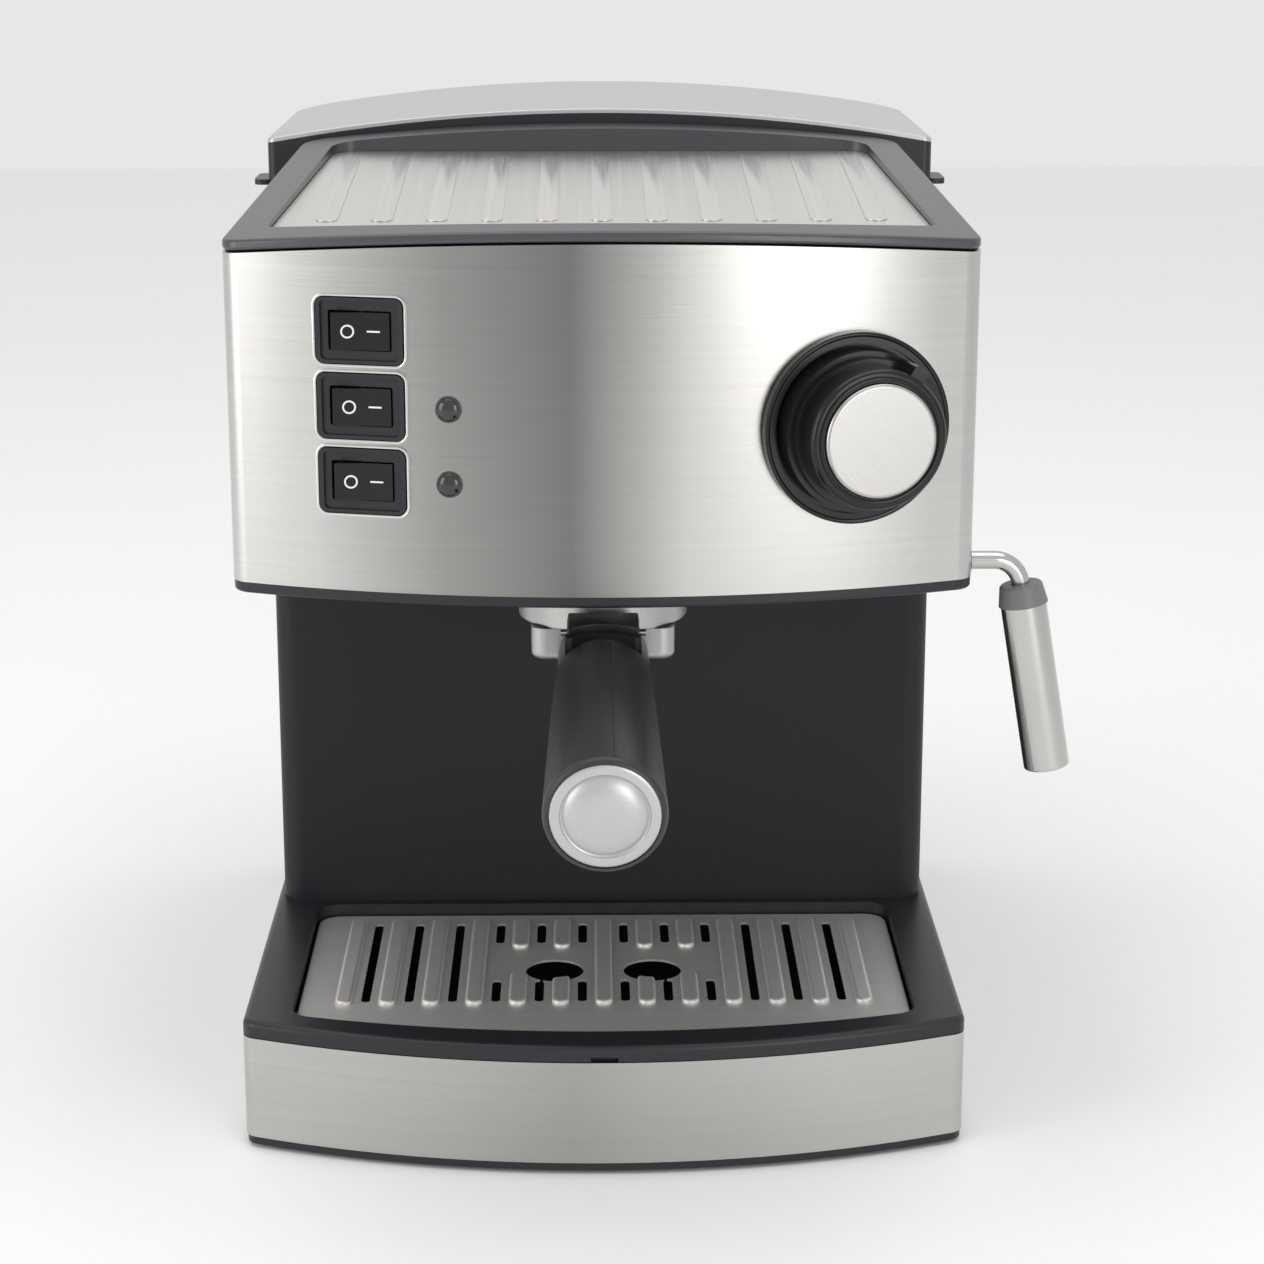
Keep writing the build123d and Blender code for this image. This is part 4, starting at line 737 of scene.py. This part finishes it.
class EspressoSizes(bpy.types.PropertyGroup):
    """Sizes of the pieces added to the frame."""

    panel_bow: length("Panel bow", "Radius of the front panel's bow", 312.0)
    switch_x: offset("Switch place", "Where the switches stand across the panel", -75.6)
    window_width: length("Window width", "Width of a switch's window in the panel", 29.1)
    window_height: length("Window height", "Height of a switch's window", 21.3)
    window_corner: length("Window corner", "Corner radius of a window", 3.0)
    lip_width: length("Lip width", "Width of the drawn lip round a window", 0.85)
    lip_height: length("Lip height", "How far the lip stands off the panel", 0.45)
    rocker_tilt: angle("Rocker tilt", "Turn of the rockers about their pins when off", 10)
    rocker_dish: angle("Rocker dish", "Slope of a rocker's halves towards its middle", 8.65)
    rocker_pivot: length("Rocker pivot", "From the panel in to the rockers' pins", 3.0)
    sign_size: length("Sign size", "Width of the signs on the rockers", 4.3)
    sign_aside: length("Sign place", "From the rocker's middle to its signs", 4.1)
    sign_stroke: length("Sign stroke", "Stroke width of the signs", 0.55)
    sign_lift: length("Sign lift", "From a rocker's pin out to its signs", 4.36)
    sign_thickness: length("Sign thickness", "Thickness of the printed signs", 0.12)
    sign_corner: length("Sign corner", "Corner radius of the bar sign", 0.2)
    lamp_radius: length("Lamp radius", "Radius of the two lamps", 4.2)
    lamp_depth: length("Lamp depth", "Thickness of a lamp behind its dome", 1.0)
    lamp_sink: length("Lamp sink", "How far the lamps stand in the panel", 0.7)
    lamp_x: offset("Lamp place", "Where the lamps stand across the panel", -48.1)
    knob_x: length("Knob place", "Where the knob stands across the panel", 79.0)
    knob_height: length("Knob height", "From the panel to the knob's face", 24.0)
    bezel_lip_width: length("Bezel lip width", "Width of the lip of the knob's bezel", 1.5)
    bezel_lip_height: length("Bezel lip height", "From the panel to the bezel lip's top", 3.9)
    cap_gap: length("Cap gap", "From the knob's cap to the outside of its ring", 1.9)
    cap_ring_width: length("Cap ring width", "Width of the ring round the cap", 1.2)
    cap_ring_height: length("Cap ring height", "Height of the ring round the cap", 1.4)
    handle_slope: angle("Handle slope", "How far the handle points down", 7.2)
    handle_length: length("Handle length", "From the handle's root to its end cap", 122.0)
    clip_width: length("Clip width", "Width of the thumb clip's pad", 23.2)
    clip_length: length("Clip length", "Length of the thumb clip's pad", 15.0)
    clip_thickness: length("Clip thickness", "Thickness of the thumb clip's pad", 2.6)
    clip_scoop: length("Clip scoop", "Radius of the scoop in the pad's front", 17.0)
    scoop_depth: length("Scoop depth", "Depth of the scoop in the pad's front", 4.5)
    seam_width: length("Seam width", "Width of the moulding seam on the handle", 0.4)
    seam_length: length("Seam length", "Length of the moulding seam", 94.0)
    seam_turn: angle("Seam turn", "From the handle's top round to its seam", -9)
    handle_taper: angle("Handle taper", "Slope of the handle's side against its axis", 1.65)
    end_cap_depth: length("End cap depth", "Thickness of the end cap's edge", 3.1)
    top_slope: FloatProperty(
        name="Top slope", description="Rise of the top towards the rear", default=0.085
    )
    rib_width: length("Rib width", "Width of a cup plate rib", 7.0)
    rib_height: length("Rib height", "Height of a cup plate rib", 0.45)
    rib_margin: length("Rib margin", "From the plate's rear to its ribs", 12.0)
    plate_ribs: IntProperty(
        name="Plate ribs", description="Ribs pressed in the cup plate", default=11, min=1
    )


class EspressoFinishes(bpy.types.PropertyGroup):
    """Colours of the machine's finishes."""

    steel: colour("Steel", "Brushed steel", (0.5, 0.49, 0.47))
    casing: colour("Casing", "Satin black of the casing", (0.016, 0.017, 0.02))
    wall: colour("Splash wall", "Matt wall behind the cups", (0.011, 0.012, 0.015))
    gloss: colour("Controls", "Gloss black of the controls", (0.006, 0.006, 0.007))
    handle: colour("Handle", "Black of the handle", (0.026, 0.027, 0.029))
    silver: colour("Silver", "Silver paint of the lid", (0.5, 0.51, 0.52))
    casting: colour("Casting", "Grained casting", (0.48, 0.47, 0.455))
    grey: colour("Grey", "Grey plastic", (0.16, 0.165, 0.17))
    tank: colour("Tank", "Smoked clear plastic", (0.3, 0.33, 0.36))
    floor: colour("Floor", "Pale studio floor", (0.93, 0.93, 0.93))


class EspressoStudio(bpy.types.PropertyGroup):
    """Camera and lights."""

    distance: length("Camera distance", "Camera's place before the machine", 1058.2)
    height: length("Camera height", "Camera's height over the floor", 428.1)
    aside: offset("Camera aside", "Camera's place to the right of the middle", -3.9)
    pitch: angle("Camera pitch", "How far the camera looks down", 14.98)
    yaw: angle("Camera yaw", "How far the camera looks to the right", 0.82)
    lens: FloatProperty(name="Lens", description="Focal length", default=83.84, unit="CAMERA")
    sky: FloatProperty(
        name="Room light", description="Strength of the room's even light", default=0.8
    )
    floor_size: length("Floor size", "Width of the floor", 6000.0)


# ---- operators ----
LIP_ROOT = 1 * MM  # how deep the window lips stand in the panel
# Each step of a domed front, in millimetres: how far inwards, then how far up.
LAMP_DOME = (
    (0.25, 0.3), (0.3, 0.05), (0.2, -0.15), (0.35, 0.35), (0.6, 0.35),
    (0.7, 0.25), (0.7, 0.12), (0.5, 0.03),
)
END_CAP_DOME = (
    (0.5, 0.35), (0.4, 0.15), (2.2, 0.0), (0.35, -0.5), (0.5, -0.1), (0.9, 0.75),
    (1.2, 0.75), (1.6, 0.6), (2.0, 0.45), (2.4, 0.3), (2.6, 0.12),
)
RIB_REACH = 0.68  # length of the cup plate's ribs, as a share of its depth
RIB_SPREAD = 0.84  # from the first rib to the last, as a share of its width
RIB_CORNER = 0.45  # corner radius of a rib, as a share of its width
BEZEL_EDGE = 0.1 * MM  # from the bezel's edge in to its lip
CAP_RING_SINK = 0.7 * MM  # how deep the cap's ring stands in the knob's face
PAD_ALONG, PAD_OUT = 9.6 * MM, 13.9 * MM  # the clip's pad, from the handle's root and axis
PAD_CORNER = 0.9 * MM
PAD_EDGE = 0.35 * MM
SEAM_ALONG, SEAM_OUT = 73 * MM, 17 * MM  # the seam's middle, likewise
SEAM_HEIGHT = 0.5 * MM
SEAM_CORNER = 0.15 * MM
CUTTER_HEIGHT = 40 * MM
SOFTBOXES = {  # place, width, height and power
    "softbox over": ((0.0, -0.1, 1.6), 1.6, 1.2, 8.0),
    "softbox left": ((-1.3, -0.75, 0.5), 0.8, 0.9, 5.5),
    "softbox right": ((0.62, -1.25, 0.4), 0.5, 0.7, 3.2),
}


class ESPRESSO_OT_finishes(bpy.types.Operator):
    """Give every frame node its finish"""

    bl_idname = "espresso.finishes"
    bl_label = "Finishes"

    def execute(self, context):
        made = {}
        for name, node in frame["nodes"].items():
            finish = BY_NODE.get(name) or BY_SLOT[SLOTS[name]]
            if finish not in made:
                made[finish] = FINISHES[finish]()
            node.data.materials.clear()
            node.data.materials.append(made[finish])
        return {"FINISHED"}


class ESPRESSO_OT_window_lips(bpy.types.Operator):
    """Add the drawn steel lips round the switch windows"""

    bl_idname = "espresso.window_lips"
    bl_label = "Window lips"

    def execute(self, context):
        sizes = context.scene.espresso_sizes
        lips = []
        for rocker in ROCKERS:
            lip = rounded_ring(
                f"window_lip_{rocker}",
                sizes.window_width + 2 * sizes.lip_width,
                sizes.window_height + 2 * sizes.lip_width,
                sizes.window_corner + sizes.lip_width,
                sizes.lip_width,
                sizes.lip_height + LIP_ROOT,
            )
            settle(lip, panel_frame(sizes.switch_x, middle(rocker).z, -LIP_ROOT))
            lips.append(lip)
        dress(join(lips, "window_lips"), "root", "drawn_steel")
        return {"FINISHED"}


class ESPRESSO_OT_rocker_signs(bpy.types.Operator):
    """Add the circle and bar to each rocker"""

    bl_idname = "espresso.rocker_signs"
    bl_label = "Rocker signs"

    def execute(self, context):
        sizes = context.scene.espresso_sizes
        thick = sizes.sign_thickness
        for rocker in ROCKERS:
            pivot = panel_frame(sizes.switch_x, middle(rocker).z, -sizes.rocker_pivot)
            turned = pivot @ Matrix.Rotation(sizes.rocker_tilt, 4, "Y")
            signs = []
            for side in (-1, 1):
                face = (
                    turned
                    @ Matrix.Translation((side * sizes.sign_aside, 0, sizes.sign_lift))
                    @ Matrix.Rotation(-side * sizes.rocker_dish, 4, "Y")
                )
                if side < 0:
                    sign = round_ring(
                        "circle_sign", sizes.sign_size / 2, sizes.sign_stroke, thick
                    )
                else:
                    sign = bar(
                        "bar_sign", sizes.sign_size, sizes.sign_stroke, thick, sizes.sign_corner
                    )
                signs.append(settle(sign, face))
            dress(join(signs, f"signs_{rocker}"), rocker, "mark_white")
        return {"FINISHED"}


class ESPRESSO_OT_lamp_domes(bpy.types.Operator):
    """Add the two domed lamps"""

    bl_idname = "espresso.lamp_domes"
    bl_label = "Lamp domes"

    def execute(self, context):
        sizes = context.scene.espresso_sizes
        domes = []
        for rocker in ROCKERS[1:]:
            lamp = stepped_disc("lamp_dome", sizes.lamp_radius, sizes.lamp_depth, LAMP_DOME)
            settle(lamp, panel_frame(sizes.lamp_x, middle(rocker).z, -sizes.lamp_sink))
            domes.append(lamp)
        lamps = join(domes, "lamp_domes")
        dress(lamps, "root", "lamp_black")
        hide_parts("lamp_lenses")
        return {"FINISHED"}


class ESPRESSO_OT_plate_ribs(bpy.types.Operator):
    """Add the shallow pressed ribs of the cup plate"""

    bl_idname = "espresso.plate_ribs"
    bl_label = "Cup plate ribs"

    def execute(self, context):
        sizes = context.scene.espresso_sizes
        low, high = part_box("cup_plate")
        slope = math.atan(sizes.top_slope)
        along = Vector((0, math.cos(slope), math.sin(slope)))
        outward = Vector((0, -math.sin(slope), math.cos(slope)))
        reach = (high.y - low.y) * RIB_REACH
        centre_y = high.y - sizes.rib_margin - reach / 2
        top = high.z + (centre_y - high.y) * sizes.top_slope
        pitch = (high.x - low.x) * RIB_SPREAD / (sizes.plate_ribs - 1)
        corner = sizes.rib_width * RIB_CORNER
        ribs = []
        for number in range(sizes.plate_ribs):
            rib = bar("plate_rib", sizes.rib_width, reach, sizes.rib_height, corner)
            x = (number - (sizes.plate_ribs - 1) / 2) * pitch
            settle(rib, placed(Vector((x, centre_y, top)), Vector((1, 0, 0)), along, outward))
            ribs.append(rib)
        dress(join(ribs, "plate_ribs"), "root", "plate_steel")
        return {"FINISHED"}


class ESPRESSO_OT_knob_rings(bpy.types.Operator):
    """Add the lip of the knob's bezel and the ring round its cap"""

    bl_idname = "espresso.knob_rings"
    bl_label = "Knob rings"

    def execute(self, context):
        sizes = context.scene.espresso_sizes
        height = middle("knob_bezel").z
        rings = (
            (
                "bezel_lip", "root", half_height("knob_bezel") - BEZEL_EDGE,
                sizes.bezel_lip_width, sizes.bezel_lip_height, 0.0,
            ),
            (
                "cap_ring", "knob", half_height("knob_cap") + sizes.cap_gap,
                sizes.cap_ring_width, sizes.cap_ring_height, sizes.knob_height - CAP_RING_SINK,
            ),
        )
        for name, body, radius, rim, thick, out in rings:
            ring = round_ring(name, radius, rim, thick, RING_STEPS, RING_EDGE)
            settle(ring, panel_frame(sizes.knob_x, height, out))
            dress(ring, body, "gloss_black")
        return {"FINISHED"}


class ESPRESSO_OT_end_cap(bpy.types.Operator):
    """Add the handle's silver end cap: a flat ring round a domed middle"""

    bl_idname = "espresso.end_cap"
    bl_label = "Handle end cap"

    def execute(self, context):
        sizes = context.scene.espresso_sizes
        low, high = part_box("handle_end_cap")
        radius = (high.x - low.x) / 2
        cap = stepped_disc("end_cap", radius, sizes.end_cap_depth, END_CAP_DOME)
        outward, up = handle_axes()
        origin = middle("handle_end_cap") - outward * sizes.end_cap_depth
        settle(cap, placed(origin, Vector((1, 0, 0)), up, outward))
        dress(cap, "portafilter", "silver")
        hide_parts("handle_end_cap")
        return {"FINISHED"}


class ESPRESSO_OT_handle_details(bpy.types.Operator):
    """Add the thumb clip's scooped pad and the seam along the handle"""

    bl_idname = "espresso.handle_details"
    bl_label = "Handle details"

    def execute(self, context):
        sizes = context.scene.espresso_sizes
        width, reach, scoop = sizes.clip_width, sizes.clip_length, sizes.clip_scoop
        cutter = start(
            "scoop",
            bpy.ops.mesh.primitive_cylinder_add,
            vertices=128,
            radius=scoop,
            depth=CUTTER_HEIGHT,
            location=(0, reach / 2 + scoop - sizes.scoop_depth, 0),
        )
        close(cutter)
        pad = bar("clip_pad", width, reach, sizes.clip_thickness, PAD_CORNER)
        cut = pad.modifiers.new("scoop", "BOOLEAN")
        cut.operation = "DIFFERENCE"
        cut.object = cutter
        bpy.ops.object.modifier_apply(modifier=cut.name)
        rounding = pad.modifiers.new("rounding", "BEVEL")
        rounding.width = PAD_EDGE
        rounding.segments = 2
        bpy.ops.object.modifier_apply(modifier=rounding.name)
        bpy.data.objects.remove(cutter)
        settle(pad, on_handle(PAD_ALONG, PAD_OUT))
        dress(pad, "clip", "handle_black")

        seam = bar("handle_seam", sizes.seam_width, sizes.seam_length, SEAM_HEIGHT, SEAM_CORNER)
        tilt = Matrix.Rotation(sizes.handle_taper, 4, "X")
        settle(seam, on_handle(SEAM_ALONG, SEAM_OUT, sizes.seam_turn) @ tilt)
        dress(seam, "portafilter", "handle_black")
        return {"FINISHED"}


class ESPRESSO_OT_stage(bpy.types.Operator):
    """Add the floor, the lights and the camera"""

    bl_idname = "espresso.stage"
    bl_label = "Studio"

    def execute(self, context):
        studio = context.scene.espresso_studio
        floor = start("floor", bpy.ops.mesh.primitive_plane_add, size=studio.floor_size)
        close(floor)
        finish = Finish("floor, pale")
        cloud = finish.noise(1.5, 2.0)
        floor_colour = tuple(context.scene.espresso_finishes.floor)
        floor.data.materials.append(
            finish.surface(
                Base_Color=finish.blended(cloud, shade(floor_colour, 0.98), floor_colour),
                Roughness=0.9,
            )
        )

        camera_data = bpy.data.cameras.new("camera")
        camera_data.sensor_width = 36.0
        camera_data.lens = studio.lens
        camera = bpy.data.objects.new("camera", camera_data)
        camera.location = (studio.aside, -studio.distance, studio.height)
        camera.rotation_euler = (math.pi / 2 - studio.pitch, 0.0, -studio.yaw)
        context.collection.objects.link(camera)
        context.scene.camera = camera

        world = bpy.data.worlds.new("studio room")
        world.use_nodes = True
        background = world.node_tree.nodes["Background"]
        background.inputs["Color"].default_value = (1.0, 1.0, 1.0, 1.0)
        background.inputs["Strength"].default_value = studio.sky
        context.scene.world = world
        context.scene.view_settings.view_transform = "Standard"

        aim = middle("front_panel")
        for name, (place, width, height, power) in SOFTBOXES.items():
            light_data = bpy.data.lights.new(name, "AREA")
            light_data.shape = "RECTANGLE"
            light_data.size = width
            light_data.size_y = height
            light_data.energy = power
            light = bpy.data.objects.new(name, light_data)
            light.location = place
            light.rotation_euler = (aim - Vector(place)).to_track_quat("-Z", "Y").to_euler()
            light.visible_camera = False
            context.collection.objects.link(light)
        return {"FINISHED"}


STEPS = (
    ESPRESSO_OT_finishes,
    ESPRESSO_OT_window_lips,
    ESPRESSO_OT_rocker_signs,
    ESPRESSO_OT_lamp_domes,
    ESPRESSO_OT_plate_ribs,
    ESPRESSO_OT_knob_rings,
    ESPRESSO_OT_end_cap,
    ESPRESSO_OT_handle_details,
    ESPRESSO_OT_stage,
)


class ESPRESSO_PT_panel(bpy.types.Panel):
    """Sizes, finishes and steps in the sidebar"""

    bl_label = "Espresso Machine"
    bl_space_type = "VIEW_3D"
    bl_region_type = "UI"
    bl_category = "Espresso"

    def draw(self, context):
        for settings in (
            context.scene.espresso_sizes,
            context.scene.espresso_finishes,
            context.scene.espresso_studio,
        ):
            box = self.layout.box()
            for key in settings.__annotations__:
                box.prop(settings, key)
        for step in STEPS:
            self.layout.operator(step.bl_idname)


CLASSES = (EspressoSizes, EspressoFinishes, EspressoStudio, *STEPS, ESPRESSO_PT_panel)


def register():
    for cls in CLASSES:
        bpy.utils.register_class(cls)
    bpy.types.Scene.espresso_sizes = PointerProperty(type=EspressoSizes)
    bpy.types.Scene.espresso_finishes = PointerProperty(type=EspressoFinishes)
    bpy.types.Scene.espresso_studio = PointerProperty(type=EspressoStudio)


def unregister():
    for name in ("espresso_studio", "espresso_finishes", "espresso_sizes"):
        delattr(bpy.types.Scene, name)
    for cls in reversed(CLASSES):
        bpy.utils.unregister_class(cls)


def main():
    """Builds the looks step by step."""
    register()
    for step in STEPS:
        group, name = step.bl_idname.split(".")
        getattr(getattr(bpy.ops, group), name)()


if __name__ == "__main__":
    main()
